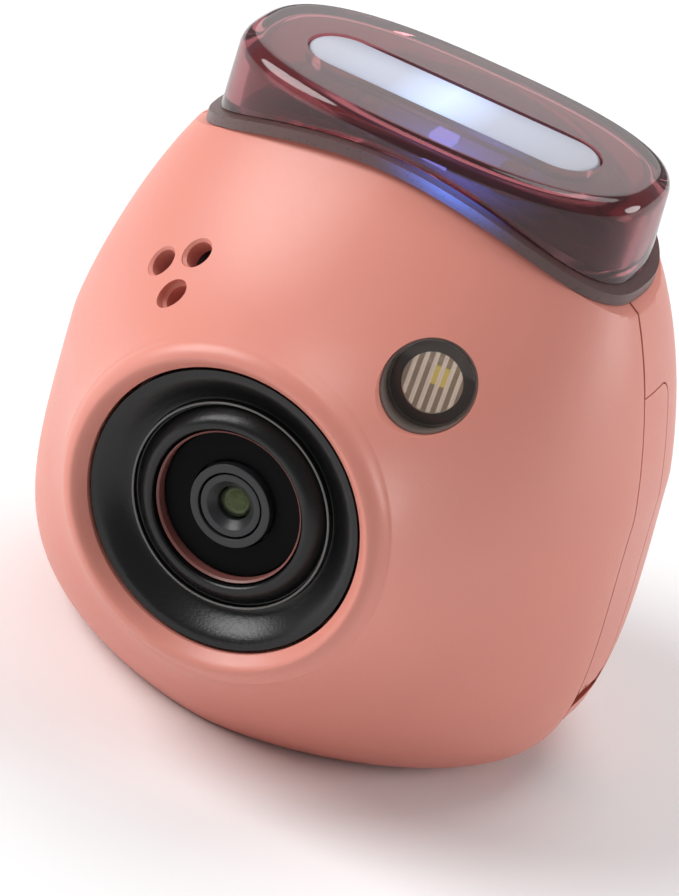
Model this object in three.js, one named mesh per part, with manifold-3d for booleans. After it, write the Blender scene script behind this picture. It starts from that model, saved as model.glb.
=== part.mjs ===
// A palm-size digital camera: two moulded shells, a translucent status-light cap and a wide lens funnel.
// Millimetres, +Z up, the lens looks along -Y, and the origin is the centre of the flat base.
import * as THREE from 'three';
import { mergeVertices } from 'three/addons/utils/BufferGeometryUtils.js';
import Module from 'manifold-3d';

const wasm = await Module();
wasm.setup();

// ---- Driving dimensions ----
const HEIGHT = 44.4;
const CREST_Y = -21.5;        // front of the lens lip
const BUTTON_Y = 21.5;        // back of the shutter button
const SEAM_Y = 0.3;           // plane where the front and rear shells meet
const SEAM_GAP = 0.2;
const WALL = 1.6;
const PROFILE_TOP = 41.8;     // height at which the body profiles end
const ARCH_Z = 41.6;          // crown of the arched top edge
const ARCH_FALL = 0.019;      // the edge falls by this times x squared
const LENS_Z = 20.4;
const LENS_Y = -20.5;         // front edge of the lens funnel
const FUNNEL_R = 9.85;
const SHUTTER = { z: 16.5, bezel: 8, button: 6.5, travel: 0.8, post: 8.6 };
const BASE_R = 10.2;
const CAP = { halfWidth: 15.5, halfDepth: 8.5, power: 2.65, y: 1.8, taper: 0.02, fillet: 1.2, wall: 1.2 };
const DECK = { lip: 0.8, thickness: 0.8, sink: 3.2 };
const BAR = { halfLength: 11.0, halfWidth: 2.7, thickness: 1.5, y: 1.15 };
const SOCKET = { y: -3.2, bore: 3.175, outer: 4.2, top: 5.2 };
const POWER = { x: -6.2, y: 4.6 };
const MODE = { x: 4.2, y: 4.9, travel: 2.4 };
const COVER = { front: 0.45, rear: 4.9, low: 7.6, high: 30.4, corner: 1.4, thickness: 1.5 };
const HINGE = { x: 20, y: 2.7, z: 7.6, turn: 0.05, pin: 0.4, knuckle: 0.9, sweep: 1.4 };
const STRAP = { x: 18.2, y: 2.5, z: 3.7 };
const BOSS_LOW = [11.5, 8];
const BOSS_HIGH = [15, 23.5];

// Half extents of the body against height: base, widest and top, with the curve's pull points.
const SIDE = { base: 12.8, basePull: 23.3, max: 21.15, lowZ: 10.4, maxZ: 21.7, highZ: 22, topPull: 19.5,
  topPullZ: 36, top: 12.8 };
const FRONT = { base: 11.6, basePull: 12.8, max: 22.3, lowZ: 10.9, maxZ: 21.3, highZ: 26.2, topPull: 16.9,
  topPullZ: 32.7, top: 6.6 };
const REAR = { base: 12.4, basePull: 17.7, max: 20.2, lowZ: 5.6, maxZ: 15, highZ: 21.4, topPull: 17.2,
  topPullZ: 33, top: 10.8 };
const FRONT_POWER = 1.76;
const REAR_POWER = 2.57;

// ---- Solids: three.js geometry turned into joinable solids ----
function solid(geometry) {
  const bare = geometry.index ? geometry.clone() : mergeVertices(geometry.clone());
  bare.deleteAttribute('normal');
  bare.deleteAttribute('uv');
  const merged = mergeVertices(bare, 1e-4);
  const points = merged.attributes.position.array;
  const triangles = [];
  for (let i = 0; i < merged.index.count; i += 3) {
    const [a, b, c] = [0, 1, 2].map((k) => merged.index.getX(i + k));
    if (a !== b && b !== c && c !== a) triangles.push(a, b, c);
  }
  if (signedVolume(points, triangles) < 0) triangles.reverse();
  const mesh = new wasm.Mesh({
    numProp: 3,
    vertProperties: new Float32Array(points),
    triVerts: new Uint32Array(triangles),
  });
  return new wasm.Manifold(mesh);
}

function signedVolume(points, triangles) {
  const corner = (i) => new THREE.Vector3().fromArray(points, triangles[i] * 3);
  let sum = 0;
  for (let i = 0; i < triangles.length; i += 3) {
    sum += corner(i).dot(corner(i + 1).cross(corner(i + 2)));
  }
  return sum / 6;
}

function geometryOf(shape) {
  const mesh = shape.getMesh();
  const geometry = new THREE.BufferGeometry();
  geometry.setAttribute('position', new THREE.BufferAttribute(mesh.vertProperties, 3));
  geometry.setIndex(new THREE.BufferAttribute(mesh.triVerts, 1));
  geometry.computeVertexNormals();
  return geometry;
}

const join = (shapes) => shapes.reduce((all, shape) => all.add(shape));
const cut = (shape, tools) => tools.reduce((left, tool) => left.subtract(tool), shape);

function box([x0, x1], [y0, y1], [z0, z1]) {
  const geometry = new THREE.BoxGeometry(x1 - x0, y1 - y0, z1 - z0);
  return solid(geometry.translate((x0 + x1) / 2, (y0 + y1) / 2, (z0 + z1) / 2));
}

// A turned shape about the Y axis through (x, z), from [radius, y] points that close on the axis or on themselves.
function turnedY(profile, x = 0, z = 0, segments = 32) {
  const points = profile.map(([r, y]) => new THREE.Vector2(r, y));
  return solid(new THREE.LatheGeometry(points, segments).translate(x, 0, z));
}

// The same about the Z axis through (x, y), from [radius, z] points.
function turnedZ(profile, x = 0, y = 0, segments = 32) {
  const points = profile.map(([r, z]) => new THREE.Vector2(r, z));
  return solid(new THREE.LatheGeometry(points, segments).rotateX(Math.PI / 2).translate(x, y, 0));
}

const rodProfile = (radius, low, high) => [[0, low], [radius, low], [radius, high], [0, high]];
const ringProfile = (inner, outer, low, high) =>
  [[inner, low], [outer, low], [outer, high], [inner, high], [inner, low]];
const rodY = (radius, low, high, x, z, segments = 16) => turnedY(rodProfile(radius, low, high), x, z, segments);
const rodZ = (radius, low, high, x, y, segments = 16) => turnedZ(rodProfile(radius, low, high), x, y, segments);
const ringY = (inner, outer, low, high, x, z, segments = 32) =>
  turnedY(ringProfile(inner, outer, low, high), x, z, segments);

// A screw along Y: its head's flat side is at headY and its point runs towards -Y.
function screwY(headY, length, x, z, radius = 0.8) {
  const head = radius * 2;
  const profile = [[0, headY - length], [radius, headY - length], [radius, headY], [head, headY],
    [head, headY + radius], [0, headY + radius]];
  return turnedY(profile, x, z, 10);
}

// ---- Body shape ----
function cubic(a, b, c, d, t) {
  const u = 1 - t;
  return u * u * u * a + 3 * u * u * t * b + 3 * u * t * t * c + t * t * t * d;
}

function extentAt(profile, z) {
  const lower = z < profile.maxZ;
  const heights = lower ? [0, 0, profile.lowZ, profile.maxZ]
    : [profile.maxZ, profile.highZ, profile.topPullZ, PROFILE_TOP];
  const reaches = lower ? [profile.base, profile.basePull, profile.max, profile.max]
    : [profile.max, profile.max, profile.topPull, profile.top];
  let low = 0;
  let high = 1;
  for (let i = 0; i < 30; i += 1) {
    const middle = (low + high) / 2;
    if (cubic(...heights, middle) < z) low = middle;
    else high = middle;
  }
  return cubic(...reaches, (low + high) / 2);
}

// Point of the body's skin at an angle round it and a height, moved inwards by inset.
function skinPoint(angle, z, inset) {
  const c = Math.cos(angle);
  const s = Math.sin(angle);
  const front = s < 0;
  const power = 2 / (front ? FRONT_POWER : REAR_POWER);
  const width = extentAt(SIDE, z) - inset;
  const depth = front ? extentAt(FRONT, z) + SEAM_Y - inset : extentAt(REAR, z) - SEAM_Y - inset;
  return [width * Math.sign(c) * Math.abs(c) ** power, SEAM_Y + depth * Math.sign(s) * Math.abs(s) ** power, z];
}

// The filled body, or a smaller copy of it, as rings of skin points closed by a fan at each end.
function bodySolid(inset, floor, around = 32, rows = 5) {
  const heights = [];
  for (let i = 0; i < rows; i += 1) heights.push(floor + (SIDE.maxZ - floor) * (i / rows) ** 2);
  for (let i = 0; i <= rows; i += 1) heights.push(SIDE.maxZ + (PROFILE_TOP - SIDE.maxZ) * (i / rows));
  const points = [];
  heights.forEach((z) => {
    for (let k = 0; k < around; k += 1) points.push(...skinPoint((2 * Math.PI * k) / around, z, inset));
  });
  const triangles = [];
  const at = (row, k) => row * around + (k % around);
  for (let row = 0; row < heights.length - 1; row += 1) {
    for (let k = 0; k < around; k += 1) {
      triangles.push(at(row, k), at(row, k + 1), at(row + 1, k + 1));
      triangles.push(at(row, k), at(row + 1, k + 1), at(row + 1, k));
    }
  }
  const last = heights.length - 1;
  for (let k = 1; k < around - 1; k += 1) {
    triangles.push(at(0, 0), at(0, k + 1), at(0, k));
    triangles.push(at(last, 0), at(last, k), at(last, k + 1));
  }
  const geometry = new THREE.BufferGeometry();
  geometry.setAttribute('position', new THREE.Float32BufferAttribute(points, 3));
  geometry.setIndex(triangles);
  return solid(geometry);
}

// Where the skin lies at a given x and z on the front, and which way it faces there.
function frontPoint(x, z) {
  const across = Math.abs(x / extentAt(SIDE, z)) ** FRONT_POWER;
  const y = SEAM_Y - (extentAt(FRONT, z) + SEAM_Y) * (1 - across) ** (1 / FRONT_POWER);
  return new THREE.Vector3(x, y, z);
}

function frontFrame(x, z) {
  const step = 0.2;
  const place = frontPoint(x, z);
  const alongX = frontPoint(x + step, z).sub(place);
  const alongZ = frontPoint(x, z + step).sub(place);
  const outward = alongX.cross(alongZ).normalize();
  const turn = new THREE.Quaternion().setFromUnitVectors(new THREE.Vector3(0, -1, 0), outward);
  return new THREE.Matrix4().compose(place, turn, new THREE.Vector3(1, 1, 1));
}

// The slab between two curves parallel to the arched top edge, right through the body.
function archSlab(low, high) {
  const shape = new THREE.Shape();
  const reach = 24;
  const steps = 16;
  const edge = (offset, x) => ARCH_Z + offset - ARCH_FALL * x * x;
  for (let i = 0; i <= steps; i += 1) {
    const x = -reach + (2 * reach * i) / steps;
    if (i === 0) shape.moveTo(x, edge(high, x));
    else shape.lineTo(x, edge(high, x));
  }
  for (let i = steps; i >= 0; i -= 1) {
    const x = -reach + (2 * reach * i) / steps;
    shape.lineTo(x, Math.max(edge(low, x), -5));
  }
  const geometry = new THREE.ExtrudeGeometry(shape, { depth: 60, bevelEnabled: false });
  return solid(geometry.rotateX(Math.PI / 2).translate(0, 30, 0));
}

// ---- Placed groups on the curved front face ----
const FLASH = frontFrame(9, 31.9);
const SPEAKER = frontFrame(-10.2, 31.4);
const SPEAKER_HOLES = [[-11.9, 31.1], [-9.5, 32.9], [-9.2, 30.4]];

const placed = (geometry, matrix) => solid(geometry.applyMatrix4(matrix));

function rodGeometry(radius, low, high, segments = 24) {
  const points = rodProfile(radius, low, high).map(([r, y]) => new THREE.Vector2(r, y));
  return new THREE.LatheGeometry(points, segments);
}

// ---- Shells ----
const skin = bodySolid(0, 0);
const inset = (depth) => bodySolid(depth, WALL, 24, 4);
const hollow = inset(WALL);
const belowArch = archSlab(-80, 0);
const FRONT_SIDE = box([-40, 40], [-40, SEAM_Y - SEAM_GAP / 2], [-5, 60]);
const REAR_SIDE = box([-40, 40], [SEAM_Y + SEAM_GAP / 2, 40], [-5, 60]);
const baseHole = rodZ(BASE_R + 0.2, -1, WALL + 1, 0, 0, 28);

// The lip: recess floor, recess wall, rounded crest and the outer wall that runs back into the body.
const LIP = { crestR: 10.85, crestRadius: 0.8, root: 11.9 };

function lipTube() {
  const inner = FUNNEL_R + 0.2;
  const crestCentre = CREST_Y + LIP.crestRadius;
  const floorY = LENS_Y + 3.2;
  const points = [[5.6, floorY], [inner, floorY], [inner, crestCentre]];
  for (let i = 1; i <= 5; i += 1) {
    const angle = Math.PI * (1 - i / 5);
    points.push([LIP.crestR + LIP.crestRadius * Math.cos(angle), crestCentre - LIP.crestRadius * Math.sin(angle)]);
  }
  points.push([11.75, -19.9], [12.2, -18.5], [12.6, -17.2], [13.0, -15.8], [13.2, -13.4], [12.2, -13.4]);
  points.push([11.4, floorY + 1.6], [5.6, floorY + 1.6], [5.6, floorY]);
  return turnedY(points, 0, LENS_Z, 28);
}

function screwBoss([x, z]) {
  const boss = rodY(1.9, -16, -5.6, x, z);
  const trimmed = boss.intersect(bodySolid(0.4, 0.4, 20, 4));
  return cut(trimmed, [rodY(1.1, -9.6, -5, x, z, 12)]);
}

const bossPlaces = [BOSS_LOW, BOSS_HIGH].flatMap(([x, z]) => [[-x, z], [x, z]]);

function frontShell() {
  const walls = cut(skin, [hollow, rodY(LIP.root, -30, -10, 0, LENS_Z, 28)]);
  const withLip = join([walls, lipTube(), ...bossPlaces.map(screwBoss)]);
  const holes = SPEAKER_HOLES.map(([x, z]) => placed(rodGeometry(0.95, -4, 4, 14), frontFrame(x, z)));
  holes.push(placed(rodGeometry(3.35, -4, 4, 28), FLASH), baseHole);
  return cut(withLip.intersect(belowArch).intersect(FRONT_SIDE), holes);
}

// The bay behind the side cover: a thick block of the wall, sunk to a floor with two slots in it.
function portBay() {
  const block = box([8, 30], [SEAM_Y, COVER.rear + 1.8], [COVER.low - 3, COVER.high + 1.8]);
  const strapBlock = box([14, 30], [SEAM_Y, STRAP.y + 3.2], [WALL, STRAP.z + 3]);
  return cut(skin.intersect(block), [inset(4.8)]).add(skin.intersect(strapBlock));
}

// The cover's outline, grown by a clearance, as a prism along X with a rounded upper rear corner.
function coverPrism(front, grow) {
  const { rear, low, high, corner } = COVER;
  const shape = new THREE.Shape();
  shape.moveTo(front, low).lineTo(rear + grow, low).lineTo(rear + grow, high - corner);
  shape.absarc(rear - corner, high - corner, corner + grow, 0, Math.PI / 2);
  shape.lineTo(front, high + grow).closePath();
  const geometry = new THREE.ExtrudeGeometry(shape, { depth: 20, bevelEnabled: false, curveSegments: 4 });
  const [along, across, up] = [[1, 0, 0], [0, 1, 0], [0, 0, 1]].map((axis) => new THREE.Vector3(...axis));
  return solid(geometry.applyMatrix4(new THREE.Matrix4().makeBasis(across, up, along)).translate(10, 0, 0));
}

function portRecess() {
  const inside = cut(coverPrism(SEAM_Y + 0.8, 0.1), [inset(3.4)]);
  const rebate = cut(coverPrism(SEAM_Y - 1, 0.2), [inset(COVER.thickness + 0.2)]);
  return join([inside, rebate, onHinge(rodProfile(HINGE.sweep, -3, 2.4), 20)]);
}

// A turned shape about the cover's hinge line, from [radius, distance along the line] points.
function onHinge(profile, segments = 16) {
  const points = profile.map(([r, along]) => new THREE.Vector2(r, along));
  const geometry = new THREE.LatheGeometry(points, segments);
  return solid(geometry.rotateZ(HINGE.turn).translate(HINGE.x, HINGE.y, HINGE.z));
}

// Two fixed lugs that hold the pin, one each side of the cover's knuckle.
function hingeLugs() {
  const lug = (near, far) => {
    const round = onHinge(rodProfile(HINGE.knuckle, near, far));
    const foot = new THREE.BoxGeometry(4, far - near, 1.6).translate(-2, (near + far) / 2, 0);
    return round.add(solid(foot.rotateZ(HINGE.turn).translate(HINGE.x, HINGE.y, HINGE.z)));
  };
  return [lug(-1.9, -1.1), lug(1.1, 1.9)];
}

function slot({ x, y, z }, clearance) {
  return box([x[0] - 1, x[1] + 4], [y[0] - clearance, y[1] + clearance], [z[0] - clearance, z[1] + clearance]);
}

function rearShell() {
  const walls = cut(skin, [hollow]).add(portBay());
  const open = cut(walls.intersect(belowArch).intersect(REAR_SIDE), [portRecess()]);
  return cut(join([open, ...hingeLugs()]), [
    slot(USB, 0.25),
    slot(CARD, 0.2),
    onHinge(rodProfile(HINGE.pin + 0.12, -1.95, 1.95), 12),
    rodY(SHUTTER.bezel + 0.25, 12, 30, 0, SHUTTER.z, 28),
    baseHole,
    strapPocket(),
    rodZ(0.9, STRAP.z - 2.3, STRAP.z + 2.3, STRAP.x, STRAP.y, 14),
  ]);
}

// ---- Side cover, and the sockets behind it ----
const USB = { x: [9.4, 16.8], y: [1.3, 4.5], z: [20.8, 29.7] };
const CARD = { x: [4.9, 17.4], y: [2.1, 3.6], z: [8.7, 20.3] };

function portCover() {
  const sheet = cut(skin.intersect(coverPrism(COVER.front, 0)), [inset(COVER.thickness)]);
  const knuckle = onHinge(rodProfile(HINGE.knuckle, -0.95, 0.95));
  const clearance = [[-2.6, -1.0], [1.0, 2.6]].map(([near, far]) => onHinge(rodProfile(1.1, near, far), 20));
  return cut(join([cut(sheet, clearance), knuckle]), [onHinge(rodProfile(HINGE.pin + 0.12, -2, 2), 12)]);
}

const hingePin = () => onHinge(rodProfile(HINGE.pin, -1.75, 1.75), 12);

function usbSocket() {
  const { x, y, z } = USB;
  const mouth = box([x[0] + 1.2, x[1] + 1], [y[0] + 0.35, y[1] - 0.35], [z[0] + 0.35, z[1] - 0.35]);
  const tongue = box([x[0] + 1, x[1] - 0.8], [y[0] + 1.25, y[1] - 1.25], [z[0] + 1.2, z[1] - 1.2]);
  return cut(box(x, y, z), [mouth]).add(tongue);
}

function cardSlot() {
  const { x, y, z } = CARD;
  return cut(box(x, y, z), [box([x[0] + 1, x[1] + 1], [y[0] + 0.3, y[1] - 0.3], [z[0] + 0.3, z[1] - 0.3])]);
}

const portBoard = () => box([8, 13.6], [USB.y[1] + 0.25, USB.y[1] + 1.05], [9, 28]);

// ---- Strap anchor at the lower corner: a pocket with an upright bar across it ----
const strapPocket = () => box([STRAP.x - 2, 30], [SEAM_Y, STRAP.y + 1.9], [STRAP.z - 1.6, STRAP.z + 1.6]);
const strapBar = () => rodZ(0.7, STRAP.z - 2.1, STRAP.z + 2.1, STRAP.x, STRAP.y, 14);

// ---- Top: deck, cap and lights ----
function roundedPrism(halfWidth, halfDepth, low, high, taper = 0, fillet = 0) {
  const around = 32;
  const levels = [[low, taper * (high - low)], [high - fillet, taper * fillet]];
  for (let i = 1; i <= 3 && fillet > 0; i += 1) {
    const angle = (i / 3) * (Math.PI / 2);
    levels.push([high - fillet + fillet * Math.sin(angle), -fillet * (1 - Math.cos(angle))]);
  }
  const points = [];
  levels.forEach(([z, grow]) => {
    for (let k = 0; k < around; k += 1) {
      const angle = (2 * Math.PI * k) / around;
      const [c, s] = [Math.cos(angle), Math.sin(angle)];
      const bend = 2 / CAP.power;
      points.push((halfWidth + grow) * Math.sign(c) * Math.abs(c) ** bend);
      points.push(CAP.y + (halfDepth + grow) * Math.sign(s) * Math.abs(s) ** bend, z);
    }
  });
  const triangles = [];
  const at = (row, k) => row * around + (k % around);
  const last = levels.length - 1;
  for (let row = 0; row < last; row += 1) {
    for (let k = 0; k < around; k += 1) {
      triangles.push(at(row, k), at(row, k + 1), at(row + 1, k + 1));
      triangles.push(at(row, k), at(row + 1, k + 1), at(row + 1, k));
    }
  }
  for (let k = 1; k < around - 1; k += 1) {
    triangles.push(at(0, 0), at(0, k + 1), at(0, k));
    triangles.push(at(last, 0), at(last, k), at(last, k + 1));
  }
  const geometry = new THREE.BufferGeometry();
  geometry.setAttribute('position', new THREE.Float32BufferAttribute(points, 3));
  geometry.setIndex(triangles);
  return solid(geometry);
}

// A flat bar with round ends, along X.
function slotBar(halfLength, halfWidth, low, high, x = 0, y = 0) {
  const straight = halfLength - halfWidth;
  const shape = new THREE.Shape();
  shape.absarc(straight, 0, halfWidth, -Math.PI / 2, Math.PI / 2);
  shape.absarc(-straight, 0, halfWidth, Math.PI / 2, (3 * Math.PI) / 2);
  shape.closePath();
  const geometry = new THREE.ExtrudeGeometry(shape, { depth: high - low, bevelEnabled: false, curveSegments: 7 });
  return solid(geometry.translate(x, y, low));
}

const DECK_SCREWS = [-11.6, 11.6];
const STATUS_POSTS = [-7, 7];
const BOARD_Z = 39.9;

// Arched rim under the cap, with a tray sunk inside it.
function topDeck() {
  const at = (grow) => roundedPrism(CAP.halfWidth + grow, CAP.halfDepth + grow, 25, 43.5);
  const top = 0.1 + DECK.thickness;
  const rim = archSlab(0.1, top).intersect(at(DECK.lip));
  const tray = archSlab(top - DECK.sink - DECK.thickness, top).intersect(at(-1.8));
  const inside = archSlab(top - DECK.sink, 6).intersect(at(-2.6));
  const posts = STATUS_POSTS.map((x) => rodZ(1.1, 37, BOARD_Z - 0.2, x, BAR.y, 12));
  const holes = DECK_SCREWS.map((x) => rodZ(0.9, 20, 50, x, CAP.y, 12));
  return cut(cut(rim.add(tray), [inside]).add(join(posts)), holes);
}

function topCap() {
  const outer = roundedPrism(CAP.halfWidth, CAP.halfDepth, 28, HEIGHT, CAP.taper, CAP.fillet);
  const inner = roundedPrism(CAP.halfWidth - CAP.wall, CAP.halfDepth - CAP.wall, 27, HEIGHT - CAP.wall, CAP.taper);
  const slotForBar = slotBar(BAR.halfLength + 0.15, BAR.halfWidth + 0.15, 42, 50, 0, BAR.y);
  return cut(outer, [inner, slotForBar, archSlab(-80, 0.2 + DECK.thickness)]);
}

function lightBar() {
  const top = HEIGHT - 0.05;
  return slotBar(BAR.halfLength, BAR.halfWidth, top - BAR.thickness, top, 0, BAR.y);
}

const statusBoard = () => slotBar(9.4, 2.4, BOARD_Z, BOARD_Z + 0.6, 0, BAR.y);
const statusLed = (x) => box([x - 0.8, x + 0.8], [BAR.y - 0.8, BAR.y + 0.8], [BOARD_Z + 0.7, BOARD_Z + 1.3]);

function deckScrew(x) {
  const seat = ARCH_Z + 0.25 + DECK.thickness - DECK.sink - ARCH_FALL * (Math.abs(x) - 1) ** 2;
  return turnedZ([[0, seat - 4], [0.6, seat - 4], [0.6, seat], [1.2, seat], [1.2, seat + 0.7], [0, seat + 0.7]],
    x, CAP.y, 12);
}

// ---- Lens: depths count back from the funnel's front edge ----
const behindLens = (profile, segments = 24) =>
  turnedY(profile.map(([r, depth]) => [r, LENS_Y + depth]), 0, LENS_Z, segments);

function lensBezel() {
  return behindLens([[5.4, 3], [FUNNEL_R, 3], [FUNNEL_R, 0], [9.7, 0.05], [9.0, 0.5], [8.1, 0.95], [7.25, 1.25],
    [7.13, 1.05], [6.98, 1.12], [6.6, 0.72], [6.0, 0.38], [5.6, 0.38], [5.4, 0.58], [5.4, 3]], 28);
}

const lensSleeve = () => behindLens(ringProfile(5.1, 5.28, 0.8, 2.4));
const lensPlate = () => behindLens(ringProfile(3.1, 4.95, 1.5, 2.3));
const lensRing = () => behindLens(ringProfile(2.36, 2.95, 0.95, 2.3), 20);

function lensBarrel() {
  return behindLens([[0.87, 6], [2.2, 6], [2.2, 1.05], [1.72, 1.05], [1.2, 1.7], [1.2, 3.0], [0.87, 3.1], [0.87, 6]],
    18);
}

const lensElement = () => behindLens([[0, 1.55], [0.5, 1.6], [0.85, 1.72], [1.05, 1.9], [1.05, 2.8], [0, 2.8]], 18);

function lensHolder() {
  const [front, back] = [LENS_Y + 2.5, LENS_Y + 8.8];
  const flange = ringY(2.5, 5.1, front, front + 0.8, 0, LENS_Z, 24);
  const block = box([-3.7, 3.7], [front + 0.5, back], [LENS_Z - 3.7, LENS_Z + 3.7]);
  return cut(join([flange, block]), [rodY(2.5, -30, 0, 0, LENS_Z, 24)]);
}

const acrossLens = (half, halfHeight, near, far) =>
  box([-half, half], [LENS_Y + near, LENS_Y + far], [LENS_Z - halfHeight, LENS_Z + halfHeight]);
const sensorWindow = () => rodY(2.2, LENS_Y + 8.2, LENS_Y + 8.6, 0, LENS_Z);
const imageSensor = () => acrossLens(3.6, 2.9, 8.95, 9.7);
const sensorBoard = () => acrossLens(6.5, 6.5, 9.85, 10.65);

// Flat cable from the sensor board, through the frame's window, to the main board.
function sensorFlex() {
  const path = new THREE.CatmullRomCurve3([[0, -9.55, 15.6], [0, -8.4, 15.3], [0, -6.4, 14.4], [0, -4.2, 14.2],
    [0, -2.6, 14.2]].map((p) => new THREE.Vector3(...p)));
  const shape = new THREE.Shape();
  shape.moveTo(-2.6, -0.1).lineTo(2.6, -0.1).lineTo(2.6, 0.1).lineTo(-2.6, 0.1).closePath();
  return solid(new THREE.ExtrudeGeometry(shape, { steps: 14, extrudePath: path, bevelEnabled: false }));
}

// ---- Flash and speaker, in their own frames: -Y is outward ----
const flashBezel = () => latheGeometry(ringProfile(2.95, 3.2, 0.1, 2.6), 24);
const flashWindow = () => rodGeometry(2.85, 0.1, 1.1);
const flashReflector = () => latheGeometry([[0.9, 3.4], [2.8, 3.4], [2.8, 1.3], [2.5, 1.3], [0.9, 3.0], [0.9, 3.4]], 24);
const flashLed = () => new THREE.BoxGeometry(1.1, 0.6, 1.1).translate(0, 3.05, 0);
const flashBoard = () => rodGeometry(2.9, 3.6, 4.2, 20);
const speakerMesh = () => rodGeometry(3.1, 2.4, 2.6, 24);
const speakerDriver = () => rodGeometry(3.3, 2.9, 5.2, 28);

function latheGeometry(profile, segments) {
  return new THREE.LatheGeometry(profile.map(([r, y]) => new THREE.Vector2(r, y)), segments);
}

// ---- Inner frame and boards ----
const CHASSIS = { front: -5.4, back: -4.0 };

function chassis() {
  const plate = join([
    box([-15, 15], [CHASSIS.front, CHASSIS.back], [9.2, 29.2]),
    box([-16.8, 16.8], [CHASSIS.front, CHASSIS.back], [20.5, 26.5]),
    box([-13.6, -9.4], [CHASSIS.front, CHASSIS.back], [6, 10]),
    box([9.4, 13.6], [CHASSIS.front, CHASSIS.back], [6, 10]),
  ]);
  const sensorPosts = [-5, 5].flatMap((x) => [-5, 5].map((z) =>
    rodY(0.9, LENS_Y + 10.85, CHASSIS.front + 0.4, x, LENS_Z + z, 12)));
  const boardPosts = boardPlaces.map(([x, z]) => rodY(1.5, CHASSIS.back - 0.4, -2.5, x, z, 14));
  const pegs = boardPlaces.map(([x, z]) => rodY(0.6, -2.8, -0.9, x, z, 12));
  const holes = [
    ...bossPlaces.map(([x, z]) => rodY(1.0, -8, 0, x, z, 12)),
    box([-3.4, 3.4], [-8, -1], [12.2, 16.4]),
  ];
  return cut(join([plate, ...sensorPosts, ...boardPosts, ...pegs]), holes);
}

const boardPlaces = [[-11, 11.4], [11, 26.4], [11, 11.4], [-11, 26.4]];

function mainBoard() {
  const board = box([-13, 13], [-2.3, -1.3], [9.4, 28.6]);
  return cut(board, boardPlaces.map(([x, z]) => rodY(0.8, -5, 5, x, z, 12)));
}

const chassisScrew = ([x, z]) => screwY(CHASSIS.back + 0.2, 5, x, z, 0.8);
const processor = () => box([-5, 4], [-1.1, -0.2], [16, 25]);
const memoryChip = () => box([6, 10], [-1.1, -0.3], [15, 22]);
const battery = () => box([-13, 4.6], [1.3, 6.9], [9, 28.6]);

function batteryLead(x, z) {
  const points = [[x, 4, 28.9], [x, 3.6, 29.6], [x, 1.2, 29.8], [x, -0.6, 28.6], [x, -0.75, z]];
  const path = new THREE.CatmullRomCurve3(points.map((p) => new THREE.Vector3(...p)));
  const shape = new THREE.Shape().absarc(0, 0, 0.4, 0, 2 * Math.PI);
  const options = { steps: 9, extrudePath: path, bevelEnabled: false, curveSegments: 3 };
  return solid(new THREE.ExtrudeGeometry(shape, options));
}

// ---- Shutter release on the back ----
const shutterPosts = [-SHUTTER.post, SHUTTER.post].map((z) => SHUTTER.z + z);

function shutterBezel() {
  const { bezel, button } = SHUTTER;
  const inner = button + 0.25;
  const flange = bezel + 1.6;
  const ring = turnedY([[inner, 13.2], [flange, 13.2], [flange, 14.4], [bezel, 14.4], [bezel, 19.9],
    [bezel - 0.3, 20.5], [inner + 0.3, 20.5], [inner, 20.2], [inner, 13.2]], 0, SHUTTER.z, 28);
  const posts = shutterPosts.map((z) => rodY(1.3, 10.9, 13.6, 0, z, 14));
  return cut(join([ring, ...posts]), shutterPosts.map((z) => rodY(0.85, 10, 12.8, 0, z, 12)));
}

function shutterButton() {
  const { button } = SHUTTER;
  return turnedY([[0, 13.6], [1.6, 13.6], [1.6, 18.2], [button - 0.7, 18.2], [button - 0.7, 16.6], [button, 16.6],
    [button, 20.6], [button - 0.35, 21.1], [button - 1.4, 21.35], [0, BUTTON_Y]], 0, SHUTTER.z, 28);
}

const shutterSwitch = () => box([-3, 3], [10.9, 12.6], [SHUTTER.z - 3, SHUTTER.z + 3]);

function shutterBoard() {
  const reach = SHUTTER.post + 1.6;
  const board = box([-4.6, 4.6], [9.9, 10.7], [SHUTTER.z - reach, SHUTTER.z + reach]);
  return cut(board, shutterPosts.map((z) => rodY(0.8, 5, 15, 0, z, 12)));
}

// Screw with its head in front of the board and its point in the bezel's post.
function shutterScrew(z) {
  return turnedY([[0, 8.6], [1.3, 8.6], [1.3, 9.7], [0.6, 9.7], [0.6, 12.5], [0, 12.5]], 0, z, 12);
}

// ---- Base ----
function basePlate() {
  const disc = turnedZ([[0, 0], [BASE_R - 0.3, 0], [BASE_R, 0.3], [BASE_R, 1.75], [11.4, 1.75], [11.4, 2.6],
    [0, 2.6]], 0, 0, 28);
  return cut(disc, [
    rodZ(SOCKET.outer + 0.15, -1, 5, 0, SOCKET.y, 24),
    rodZ(2.0, -1, 5, POWER.x, POWER.y, 20),
    rodZ(2.5, 1.85, 5, POWER.x, POWER.y, 20),
    slotBar(3.1, 1.3, -1, 5, MODE.x, MODE.y),
  ]);
}

function tripodSocket() {
  return turnedZ([[SOCKET.bore, 0.05], [SOCKET.outer, 0.05], [SOCKET.outer, 2.75], [5.2, 2.75], [5.2, 3.6],
    [SOCKET.outer, 3.6], [SOCKET.outer, SOCKET.top + 1.2], [0, SOCKET.top + 1.2], [0, SOCKET.top],
    [SOCKET.bore, SOCKET.top], [SOCKET.bore, 0.05]], 0, SOCKET.y, 24);
}

const powerButton = () => turnedZ([[0, 0.3], [1.6, 0.3], [1.8, 0.5], [1.8, 2.0], [2.3, 2.0], [2.3, 2.5], [0.8, 2.5],
  [0.8, 3.6], [0, 3.6]], POWER.x, POWER.y, 20);
const powerSwitch = () => box([POWER.x - 1.6, POWER.x + 1.6], [POWER.y - 1.6, POWER.y + 1.6], [4.2, 6.4]);

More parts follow.
